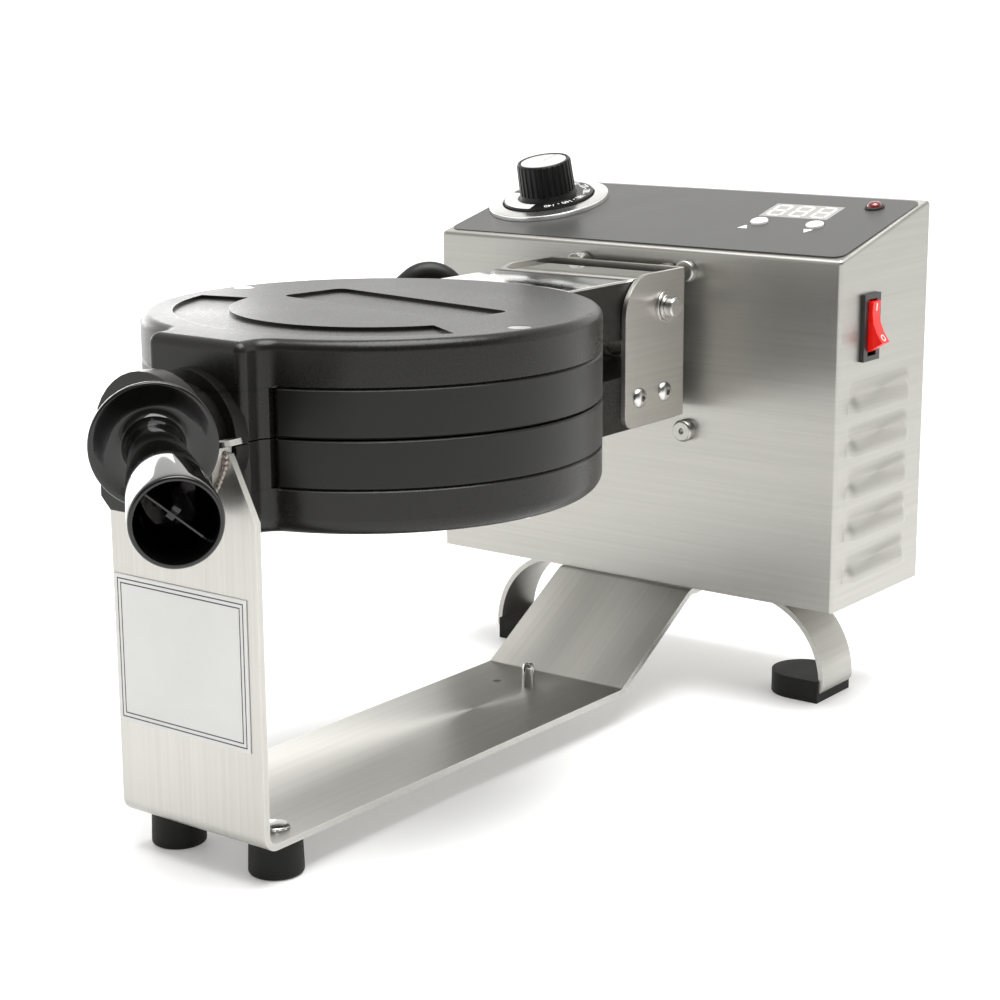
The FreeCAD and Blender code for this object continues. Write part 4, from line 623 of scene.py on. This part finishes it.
def softened(node, width, finish):
    piece = bpy.data.objects.new(node + ".soft", nodes[node].data.copy())
    bpy.context.scene.collection.objects.link(piece)
    into_edit(piece)
    bpy.ops.mesh.select_all(action="SELECT")
    bpy.ops.mesh.remove_doubles(threshold=0.002 * MM)
    bpy.ops.mesh.dissolve_limited(angle_limit=math.radians(0.4), use_dissolve_boundaries=False)
    if node in SEAMED:
        choose(piece, "EDGE", on_a_seam)
        bpy.ops.mesh.bevel(offset=SEAM_BEVEL, segments=1, affect="EDGES", clamp_overlap=False)
    bpy.ops.object.mode_set(mode="OBJECT")
    sharp = math.radians(SHARP)
    add_modifier(piece, "BEVEL", width=width * MM, segments=2, limit_method="ANGLE", angle_limit=sharp)
    smooth(piece, SHARP)
    return carried(piece, node + ".soft", body_of_node[node], slot_of_node[node], finishes[finish], node)


# %% Softening the frame
SOFT_EDGES = {
    "rear_panel": 0.3, "rear_panel_screws": 0.4, "cord_gland": 0.6, "bottom_panel": 0.3, "arm_bolts": 0.5,
    "support_arm": 0.5, "tray_pin": 0.3, "upright_plate": 0.15, "front_feet": 1.4,
    "front_foot_screws": 0.6, "rear_leg": 0.5, "rear_foot_pads": 0.8, "stop_stubs": 0.8,
    "panel_overlay": 0.1, "rocker_housing": 0.6, "thermostat_knob": 0.15, "rotor_shaft": 0.4,
    "bracket_screws": 0.5, "thrust_washer": 0.3, "hinge_bracket": 0.6, "stop_studs": 0.5, "hinge_pin": 0.6,
    "pin_washers": 0.4, "pin_clips": 0.2, "lower_cover": 0.9, "lower_plate_screws": 0.2,
    "lower_grid_plate": 0.9, "upper_cover": 0.9, "upper_plate_screws": 0.2, "upper_grid_plate": 0.9,
    "arm_cover_plate": 0.25, "hinge_bushes": 0.2, "conduit_boss": 0.5, "switch_rocker": 0.4,
    "time_down_button": 0.8, "time_up_button": 0.8,
}
# The rear leg takes the darker box steel instead of its own slot's finish: painted shade, for the shade it
# stands in under the box.
SHADE_DARKENED_FINISH = {"rear_leg": "box_steel"}
soft_pieces = {}
for node, width in SOFT_EDGES.items():
    soft_pieces[node] = softened(node, width, SHADE_DARKENED_FINISH.get(node, slot_of_node[node]))

# %% [markdown]
# ## The control box
# The box is one folded sheet: a front, two sides and a sloping top, open below and behind. So it is
# folded here too: a cube with its back top edge raised, its bottom and back faces removed, and the
# edges that are left rounded to the radius of the fold. Only then does it get the sheet's thickness,
# inwards, and only then are its holes punched: the order in which the real one is made.

# %% Folding the shell
FOLD, SHEET = 2 * MM, 1.2 * MM


def folded_shell():
    shell = block(BOX_SIZE, at(0, BOX_FRONT + BOX_SIZE[1] / 2, BOX_LOW + BOX_SIZE[2] / 2))
    into_edit(shell)
    choose(shell, "VERT", lambda v: v.co.z > 200 * MM and v.co.y > 250 * MM)
    bpy.ops.transform.translate(value=(0, 0, BOX_RISE * MM))
    choose(shell, "FACE", lambda f: f.normal.z < -0.9 or f.normal.y > 0.9)
    bpy.ops.mesh.delete(type="FACE")
    choose(shell, "EDGE", lambda e: not e.is_boundary)
    bpy.ops.mesh.bevel(offset=FOLD, segments=6, affect="EDGES")
    bpy.ops.object.mode_set(mode="OBJECT")
    clean(shell)
    return add_modifier(shell, "SOLIDIFY", thickness=SHEET, offset=-1, use_even_offset=True)


box_shell = folded_shell()
print("box shell", [round(side / MM, 1) for side in box_shell.dimensions], "mm")

# %% Punching the holes
HEAD_AXIS = 180.5
BOX_SIDE = BOX_SIZE[0] / 2
LAMP_AT = (98.3, 74.6)
DISPLAY_AT = (63.3, 63.3)
BUTTONS_AT = ((50, 43.7), (81.5, 43.7))
ROCKER = (116.4, 195.75, 193.25)
STUD_OUT = 16.26
HOOD_Y, HOOD_FIRST, HOOD_STEP, HOOD_COUNT = 209.5, 68.5, 21, 5

punches = [rod(5.5, 12, on_slope(*DIAL_AT)), rod(4.2, 12, on_slope(*LAMP_AT))]
punches += [rod(4.9, 12, on_slope(*place)) for place in BUTTONS_AT]
punches.append(block((39.5, 20.3, 12), on_slope(*DISPLAY_AT)))
punches.append(block((10, 13.2, 30), at(BOX_SIDE, ROCKER[1], ROCKER[2])))
punches.append(rod(16, 10, at(0, BOX_FRONT, HEAD_AXIS, 90, "X")))
for side in (1, -1):
    for up in (1, -1):
        place = at(side * STUD_OUT, BOX_FRONT, HEAD_AXIS + up * STUD_OUT, 90, "X")
        punches.append(rod(2, 10, place, 16))
    for i in range(HOOD_COUNT):
        punches.append(block((10, 53, 10), at(side * BOX_SIDE, HOOD_Y, HOOD_FIRST + HOOD_STEP * i + 5)))
cut_away(box_shell, *punches)
smooth(box_shell)
carried(box_shell, "control_box.shell", "base", "box_steel", finishes["box_steel"], "control_box")

# %% [markdown]
# ## Louvres
# Five louvres are pressed out of each side: the sheet is slit along the lower lip and pushed out
# over a form, so the lip stands straight, the ends fall away quickly and the top runs back into the
# wall with no edge. A coarse grid is pushed out row by row, less and less towards the top, and two
# levels of subdivision draw the sheet smooth between the rows.

# %% Pressing one louvre
HOOD_LONG, HOOD_HIGH = 63, 16.5
PUSHED_OUT = (3.6, 3.5, 3.15, 2.55, 1.8, 1.05, 0.45, 0.12)
HOOD_ROWS = len(PUSHED_OUT)
HOOD_WALL = 119.96
STANDING = Matrix(((0, 0, 1, 0), (1, 0, 0, 0), (0, 1, 0, 0), (0, 0, 0, 1)))


def pressed_hood():
    let_go()
    bpy.ops.mesh.primitive_grid_add(x_subdivisions=14, y_subdivisions=HOOD_ROWS, size=1)
    hood = bpy.context.object
    hood.scale = (HOOD_LONG * MM, HOOD_HIGH * MM, 1)
    settle(hood)
    inside = HOOD_LONG / 2 - 0.1
    into_edit(hood)
    for row, out in enumerate(PUSHED_OUT):
        level = HOOD_HIGH / HOOD_ROWS * row - HOOD_HIGH / 2
        choose(hood, "VERT", lambda v: abs(v.co.y / MM - level) < 0.1 and abs(v.co.x / MM) < inside)
        bpy.ops.transform.translate(value=(0, 0, out * MM))
    bpy.ops.object.mode_set(mode="OBJECT")
    add_modifier(hood, "SUBSURF", levels=2, boundary_smooth="PRESERVE_CORNERS")
    add_modifier(hood, "SOLIDIFY", thickness=0.9 * MM, offset=-1, use_even_offset=True)
    stood(hood, at(HOOD_WALL, HOOD_Y, HOOD_FIRST + HOOD_HIGH / 2) @ STANDING)
    return smooth(hood, 40)


first_hood = pressed_hood()
hoods = [first_hood]
hoods += [copied(first_hood, (0, 0, HOOD_STEP * i)) for i in range(1, HOOD_COUNT)]
hoods += [copied(hood, flip=True) for hood in hoods]
for i, hood in enumerate(hoods):
    side = "right" if i < HOOD_COUNT else "left"
    carried(hood, f"louvre_{side}_{i % HOOD_COUNT + 1}", "base", "box_steel", finishes["box_steel"])

# %% [markdown]
# ## The dial
# A wide flat ring frames the dial. Inside it a black skirt turns with the knob and carries the
# numbers: plain temperatures with their tops outwards, dots half way between, and a white band over
# the part of the turn where the heat is off. On the real skirt they are printed, so here they are
# thin films of ink lying just on it.

# %% Ring, skirt and cap
SKIRT_TOP = 5
BEZEL = [
    (25, 0.6), (32.2, 0.6), (32.4, 0.8), (32.4, 2.5), (32.2, 3.0), (31.6, 3.3), (25.7, 3.7), (25.2, 3.6),
    (25, 3.3), (25, 0.6),
]
SKIRT = [(4, 1.2), (24, 1.2), (24.2, 1.4), (24.2, 4.5), (24, 4.9), (23.6, SKIRT_TOP), (4, SKIRT_TOP), (4, 1.2)]
CAP = [(0, 22.8), (12.5, 22.8), (12.5, 23.7), (12.2, 24), (0, 24)]
bezel = smooth(stood(turned(BEZEL, 128), on_slope(*DIAL_AT)), 30)
carried(bezel, "dial_bezel.ring", "base", "bezel_bright", finishes["bezel_bright"], "dial_bezel")
skirt = smooth(stood(turned(SKIRT, 128), on_slope(*DIAL_AT)), 30)
carried(skirt, "dial_skirt.disc", "dial", "skirt_black", finishes["skirt_black"], "dial_skirt")
cap = cut_away(turned(CAP, 96), block((0.5, 12, 1), at(0, 6, 24.1)))
cap = smooth(stood(cap, on_slope(*DIAL_AT)), 30)
carried(cap, "knob_cap.disc", "dial", "cap_bright", finishes["cap_bright"], "knob_cap")

# %% Numbers, dots and band
INK = 0.06
NUMBER_SIZE, NUMBER_NARROW, NUMBER_REACH = 5.4, 0.74, 20.7
DOT_RADIUS, DOT_REACH = 0.55, 20.4
HEATS = range(140, 301, 20)
FIRST_BEARING, BEARING_STEP = -53, 27
BAND = [(16.6, 0), (23.6, 0), (23.6, INK / 2), (16.6, INK / 2), (16.6, 0)]


def on_skirt(radius, bearing):
    """A place on the skirt: millimetres from its middle, and degrees round from the right."""
    way = math.radians(bearing)
    place = (DIAL_AT[0] + radius * math.cos(way), DIAL_AT[1] + radius * math.sin(way))
    return on_slope(*place, SKIRT_TOP, bearing - 90)


def printed_number(words):
    let_go()
    bpy.ops.object.text_add()
    ink = bpy.context.object
    ink.data.body = words
    ink.data.size = NUMBER_SIZE * MM
    ink.data.align_x = "CENTER"
    ink.data.align_y = "CENTER"
    ink.data.extrude = INK * MM / 2
    ink.data.offset = 0.03 * MM
    bpy.ops.object.convert(target="MESH")
    ink = bpy.context.object
    ink.scale.x = NUMBER_NARROW
    return ink


prints = []
for step, heat in enumerate(HEATS):
    bearing = FIRST_BEARING + BEARING_STEP * step
    prints.append(stood(printed_number(str(heat)), on_skirt(NUMBER_REACH, bearing)))
    if heat != HEATS[-1]:
        prints.append(rod(DOT_RADIUS, INK, on_skirt(DOT_REACH, bearing + BEARING_STEP / 2), 16))
prints.append(stood(turned(BAND, 56, 100), on_slope(*DIAL_AT, SKIRT_TOP, -80)))
numbers = clean(joined(*prints), 0.001 * MM)
carried(numbers, "dial_numbers", "dial", "label_white", finishes["ink_white"])

# %% [markdown]
# ## Display and panel marks
# The display shows its three unlit figures as paler bars in a grey window. Each bar is a hexagon
# pulled apart into a lozenge, and one figure takes seven of them. Beside the two time buttons the
# panel has a small white triangle each, one pointing up and one down.

# %% Figures and triangles
FIGURE_WIDE, FIGURE_HIGH, FIGURE_STEP = 7.6, 14.6, 12.6
BAR_WIDE, LEVEL_BAR, UPRIGHT_BAR = 1.9, 6.6, 6.4
BAR_OUT, MARK_OUT = 0.5, 0.6


def lozenge(length, place):
    let_go()
    bpy.ops.mesh.primitive_cylinder_add(vertices=6, radius=BAR_WIDE * MM / 2, depth=INK * MM)
    bar = bpy.context.object
    into_edit(bar)
    bpy.ops.mesh.select_all(action="SELECT")
    bpy.ops.transform.rotate(value=math.pi / 2, orient_axis="Z", center_override=(0, 0, 0))
    for side in (1, -1):
        choose(bar, "VERT", lambda v: v.co.x * side > 0)
        bpy.ops.transform.translate(value=(side * (length - BAR_WIDE) * MM / 2, 0, 0))
    bpy.ops.object.mode_set(mode="OBJECT")
    return stood(bar, place)


def on_display(x, along, turn=0):
    return on_slope(DISPLAY_AT[0] + x, DISPLAY_AT[1] + along, BAR_OUT, turn)


bars = []
for x in (-FIGURE_STEP, 0, FIGURE_STEP):
    for up in (-1, 0, 1):
        bars.append(lozenge(LEVEL_BAR, on_display(x, up * FIGURE_HIGH / 2)))
    for side in (-1, 1):
        for up in (-1, 1):
            place = on_display(x + side * FIGURE_WIDE / 2, up * FIGURE_HIGH / 4, 90)
            bars.append(lozenge(UPRIGHT_BAR, place))
carried(joined(*bars), "display_figures", "base", "display_pale", finishes["figure_pale"])
MARKS = ((45.7, 35.3, MARK_OUT, 0), (81.1, 36.4, MARK_OUT, 180))
marks = [rod(3.2, INK, on_slope(*place), 3) for place in MARKS]
carried(joined(*marks), "button_triangles", "base", "label_white", finishes["ink_white"])

# %% [markdown]
# ## Lamp and rocker marks
# The lamp is a red lens in a dark rim. The rocker has its two signs, a stroke and a ring, filled with
# white on the two halves of its hollow face; they turn with the paddle.

# %% Lens, rim and switch signs
LENS = [(0, -12), (3.9, -12), (3.9, 1), (3.7, 1.9), (3.2, 2.8), (2.4, 3.4), (1.2, 3.8), (0, 3.9)]
RIM = [(3.95, 0.6), (5, 0.6), (5, 1.3), (4.8, 1.7), (4.4, 1.8), (3.95, 1.4), (3.95, 0.6)]
RING = [(1.15, 0), (1.75, 0), (1.75, INK), (1.15, INK), (1.15, 0)]
PADDLE = at(*ROCKER, -15, "Y")
FACE_TILT, SIGN_UP = 19.1, 7.6
lens = smooth(stood(turned(LENS, 48), on_slope(*LAMP_AT)), 40)
carried(lens, "lamp_lens", "base", "lamp_red", finishes["lamp_red"], "indicator_lamp")
rim = smooth(stood(turned(RIM, 48), on_slope(*LAMP_AT)), 40)
carried(rim, "lamp_rim", "base", "switch_black", finishes["switch_black"])
stroke = block((INK, 0.85, 3.6), PADDLE @ at(10.42, 0, SIGN_UP, FACE_TILT, "Y"))
ring = stood(turned(RING, 40), PADDLE @ at(10.4, 0, -SIGN_UP, 90 - FACE_TILT, "Y"))
carried(joined(stroke, ring), "rocker_signs", "power_paddle", "label_white", finishes["ink_white"])

# %% [markdown]
# ## The grip
# The grip is moulded hollow: a dished collar, a neck, and a bell that widens to the open end, where a
# web with a small boss closes the core off. It is turned from its outline, inside and outside in
# one, and one level of subdivision rounds the corners the way a mould's cutter leaves them.

# %% Turning the grip
GRIP_OUTLINE = [
    (4, -2), (14, -2), (21, -0.6), (24.2, 2), (24.5, 2.8), (24.5, 4.2), (24, 4.8), (23, 5), (16.5, 3.2),
    (12.6, 4), (10.8, 6.5), (10.2, 11), (10.4, 18), (11.3, 28), (12.6, 42), (13.8, 57), (14.8, 72),
    (15.6, 86), (16.2, 100), (16.3, 103.8), (15.8, 105), (14.3, 105), (14, 104), (13.8, 98), (12.2, 72),
    (9.8, 45), (7.8, 29), (7, 28), (4, 28), (4, -2),
]
WEB_MIDDLE, WEB_FLARE, WEB_TURN = 71, 1.58, 50
yaw, pitch = math.radians(50), math.radians(3.4)
along = Vector((math.sin(yaw) * math.cos(pitch), -math.cos(yaw) * math.cos(pitch), -math.sin(pitch)))
across = Vector((math.cos(yaw), math.sin(yaw), 0))
GRIP_PLACE = at(23.1, -184.5, 187.8) @ Matrix((across, along.cross(across), along)).transposed().to_4x4()
grip = add_modifier(turned(GRIP_OUTLINE, 56), "SUBSURF", levels=1)
web = block((0.7, 17, 51), at(0, 0, WEB_MIDDLE))
into_edit(web)
choose(web, "VERT", lambda v: v.co.z > WEB_MIDDLE * MM)
bpy.ops.transform.resize(value=(1, WEB_FLARE, 1), center_override=(0, 0, 0))
bpy.ops.object.mode_set(mode="OBJECT")
boss = add_modifier(block((5.6, 3.8, 44), at(0, 0, WEB_MIDDLE)), "BEVEL", width=0.8 * MM, segments=2)
for part in (web, boss):
    stood(part, at(0, 0, 0, WEB_TURN))
grip = smooth(stood(joined(grip, web, boss), GRIP_PLACE), 40)
carried(grip, "handle.grip", "lid", "handle_black", finishes["handle_black"], "handle")

# %% [markdown]
# ## Button-head screws
# Four button-head screws hold the bracket to the lower casting. One is turned, its hexagon socket
# broached, and the other three are copies: one beside it, and both again on the left.

# %% Screws with a hexagon socket
SCREW = [
    (0, -16.5), (2.5, -16.5), (2.5, 0), (4.7, 0), (4.9, 0.3), (4.75, 1.1), (4.2, 1.9), (3.3, 2.5),
    (2.4, 2.8), (0, 2.8),
]
SCREW_STEP = 21.6
screw = cut_away(turned(SCREW, 48), rod(1.8, 5.2, at(0, 0, 2.9), 6))
stood(screw, at(41, 116, 162, 90, "Y"))
screws = [screw, copied(screw, (0, SCREW_STEP, 0))]
screws += [copied(one, flip=True) for one in screws]
side_screws = smooth(joined(*screws), 30)
carried(side_screws, "side_screws", "head", "fastener_steel", finishes["fastener_steel"], "bracket_side_screws")

# %% [markdown]
# ## The saddle
# The head's neck rests in a strip bent to a half ring, with its two ends flared outwards as ears.
# The strip is drawn as a line along its middle, pulled out to its width, its corners rounded off with
# a file, and then thickened both ways.

# %% Bending the saddle
SADDLE_MIDDLE, SADDLE_FRONT, SADDLE_WIDE = 24.75, -157, 11.5
EAR = [(25.1, 181.7), (25.9, 182.5), (27.6, 182.9), (30, 183.1), (32, 183.4), (33.9, 184)]
EAR_TIP, EAR_ROUND = 33.8 * MM, 3.2 * MM
saddle_slot = slot_of_node["saddle"]


def bent_strip(line, front, wide):
    """A sheet along a line of (x, z) points, pulled out in y; all in millimetres."""
    strip = drawn_line([Vector((x, front, z)) * MM for x, z in line])
    bpy.ops.mesh.extrude_region_move(TRANSFORM_OT_translate={"value": (0, wide * MM, 0)})
    bpy.ops.object.mode_set(mode="OBJECT")
    return clean(strip)


arc = [math.radians(180 + 5 * i) for i in range(37)]
half_ring = [(SADDLE_MIDDLE * math.cos(a), HEAD_AXIS + SADDLE_MIDDLE * math.sin(a)) for a in arc]
saddle = bent_strip([(-x, z) for x, z in reversed(EAR)] + half_ring + EAR, SADDLE_FRONT, SADDLE_WIDE)
into_edit(saddle)
choose(saddle, "VERT", lambda v: abs(v.co.x) > EAR_TIP)
bpy.ops.mesh.bevel(offset=EAR_ROUND, segments=5, affect="VERTICES", clamp_overlap=False)
bpy.ops.object.mode_set(mode="OBJECT")
add_modifier(saddle, "SOLIDIFY", thickness=2.3 * MM, offset=0, use_even_offset=True)
corner = math.radians(50)
add_modifier(saddle, "BEVEL", width=0.5 * MM, segments=2, limit_method="ANGLE", angle_limit=corner)
carried(smooth(saddle, 40), "saddle.strip", "base", saddle_slot, finishes[saddle_slot], "saddle")

# %% [markdown]
# The saddle is welded into the notch of the upright, and the weld is left as it cooled: a row of
# overlapping beads, browned by the heat. A tube could follow the notch, but it would be too even.
# So each bead is a flattened ball, turned to lie along the notch and set a little in or out.

# %% Welding the saddle
BEAD_RADIUS, BEAD_SHAPE = 1.25, (1.5, 0.9, 1.1)
BEAD_REACH, BEAD_WANDER, BEAD_Y = 26.4, 0.2, -149.3
beads = []
for bearing in range(-62, -3, 5):
    way = math.radians(bearing)
    let_go()
    bpy.ops.mesh.primitive_uv_sphere_add(segments=12, ring_count=8, radius=BEAD_RADIUS * MM)
    bead = bpy.context.object
    bead.scale = BEAD_SHAPE
    bead.rotation_euler.y = -way - math.pi / 2
    settle(bead)
    reach = BEAD_REACH + BEAD_WANDER * math.sin(bearing)
    beads.append(stood(bead, at(reach * math.cos(way), BEAD_Y, HEAD_AXIS + reach * math.sin(way))))
beads += [copied(bead, flip=True) for bead in beads]
weld = smooth(joined(*beads), 60)
carried(weld, "saddle_weld", "base", saddle_slot, finishes["heater_steel"])

# %% [markdown]
# ## The tray pin
# The pin that a drip tray hangs on is slit at the top, so that it springs a little. The softened pin
# is already there, and a saw cut is all it needs: a thin block is taken away from its end.

# %% Slit in the tray pin
cut_away(soft_pieces["tray_pin"], block((1.1, 9, 6), at(0, 82, 30)))
print("tray pin", len(soft_pieces["tray_pin"].data.polygons), "faces")

# %% [markdown]
# Pieces that sit inside the box, or whose shape is already right, keep the frame's own mesh. They
# still get a full finish: they show through the slots at the back and when the head turns over.

# %% Finishes for the pieces that stay as they are
for node, piece in nodes.items():
    if not piece.hide_render:
        piece.data.materials.clear()
        piece.data.materials.append(finishes[slot_of_node[node]])
        print("kept", node, "in", slot_of_node[node])

# %% [markdown]
# ## Camera, floor and light
# The camera stands where the photograph was taken, worked out from the box's corners: to the
# right of the front, slightly above, at about a metre. A wide pale floor and a bright surround
# stand for a light tent, with one large soft panel overhead and one low behind on the left, which
# the bright and glossy pieces reflect. The floor glows a little more far away, so it has no end.

# %% Camera
CAMERA_PLACE = (0.60969, -0.74299, 0.35023)
AZIMUTH, RISE, ROLL = math.radians(37.21), math.radians(13.03), math.radians(-0.33)


def stand_camera():
    data = bpy.data.cameras.new("camera")
    camera = bpy.data.objects.new("camera", data)
    bpy.context.scene.collection.objects.link(camera)
    data.sensor_width = 36.0
    data.lens = 78.66
    data.clip_end = 50.0
    level = math.cos(RISE)
    back = Vector((math.sin(AZIMUTH) * level, -math.cos(AZIMUTH) * level, math.sin(RISE)))
    right = (-back).cross(Vector((0, 0, 1))).normalized()
    up = right.cross(-back)
    across = right * math.cos(ROLL) + up * math.sin(ROLL)
    upward = up * math.cos(ROLL) - right * math.sin(ROLL)
    turn = Matrix((across, upward, back)).transposed().to_4x4()
    camera.matrix_world = Matrix.Translation(CAMERA_PLACE) @ turn
    bpy.context.scene.camera = camera
    return camera


camera = stand_camera()
print("camera at", [round(c, 3) for c in camera.matrix_world.translation])

# %% Floor
let_go()
bpy.ops.mesh.primitive_circle_add(vertices=96, radius=6, fill_type="NGON", location=(0, 0, 0))
floor = bpy.context.object
floor.name = "floor"
floor_paint = Finish("floor_white")
floor_cloud = floor_paint.noise(0.9, 2.0)
floor_x, floor_y = floor_paint.along("x"), floor_paint.along("y")
far = (floor_x * floor_x + floor_y * floor_y).spread(0.4, 6.0)
floor_paint.set(
    Base_Color=floor_paint.mix(floor_cloud, (0.90, 0.90, 0.90), (0.93, 0.93, 0.93)),
    Roughness=(0.6 + (floor_cloud - 0.5) * 0.1).held(),
    Emission_Color=floor_paint.mix(far, (0.2, 0.2, 0.2), (0.5, 0.5, 0.5)),
    Emission_Strength=1.0,
    Specular_IOR_Level=0.2,
)
floor.data.materials.append(floor_paint.material)
print("floor across", round(floor.dimensions.x, 1), "m")

# %% Light
TENT_WHITE = (1.0, 0.995, 0.97, 1)
SEEN_WHITE = 1.1


def soft_panel(name, place, aim, size, power):
    data = bpy.data.lights.new(name, "AREA")
    data.shape = "RECTANGLE"
    data.size, data.size_y = size
    data.energy = power
    panel = bpy.data.objects.new(name, data)
    bpy.context.scene.collection.objects.link(panel)
    panel.location = place
    panel.rotation_euler = (Vector(aim) - Vector(place)).to_track_quat("-Z", "Y").to_euler()
    print("soft panel", name, "of", power, "W")


def light_tent():
    """White all round at the horizon and overhead, darker half way up, most of all at the front; plain
    white where the tent itself is looked at."""
    world = bpy.data.worlds.new("tent")
    bpy.context.scene.world = world
    world.use_nodes = True
    tree = world.node_tree
    way = Field(tree).node("ShaderNodeTexCoord")
    x, y, rise = (way.node("ShaderNodeSeparateXYZ", None, {0: way}, i) for i in range(3))
    front = (x * 0.605 - y * 0.797).spread(-0.1, 0.6)
    top_of_band = 0.42 - front * 0.34
    middle_up = (rise - top_of_band).spread(0, 0.16) * (1 - rise.spread(0.72, 0.92))
    band = 1.3 - front * 0.45
    glow = band * (1 - middle_up) + (0.75 - front * 0.60) * middle_up
    seen = way.node("ShaderNodeLightPath")
    level = glow * (1 - seen) + seen * SEEN_WHITE
    sky = tree.nodes["Background"]
    sky.inputs["Color"].default_value = TENT_WHITE
    tree.links.new(level.socket, sky.inputs["Strength"])


light_tent()
soft_panel("overhead", (0.25, -0.05, 1.8), (0, 0, 0.1), (1.3, 1.3), 40)
soft_panel("side", (-2.0, 1.06, 0.38), (0, -0.1, 0.2), (1.3, 0.7), 9)
bpy.context.scene.view_settings.view_transform = "Standard"
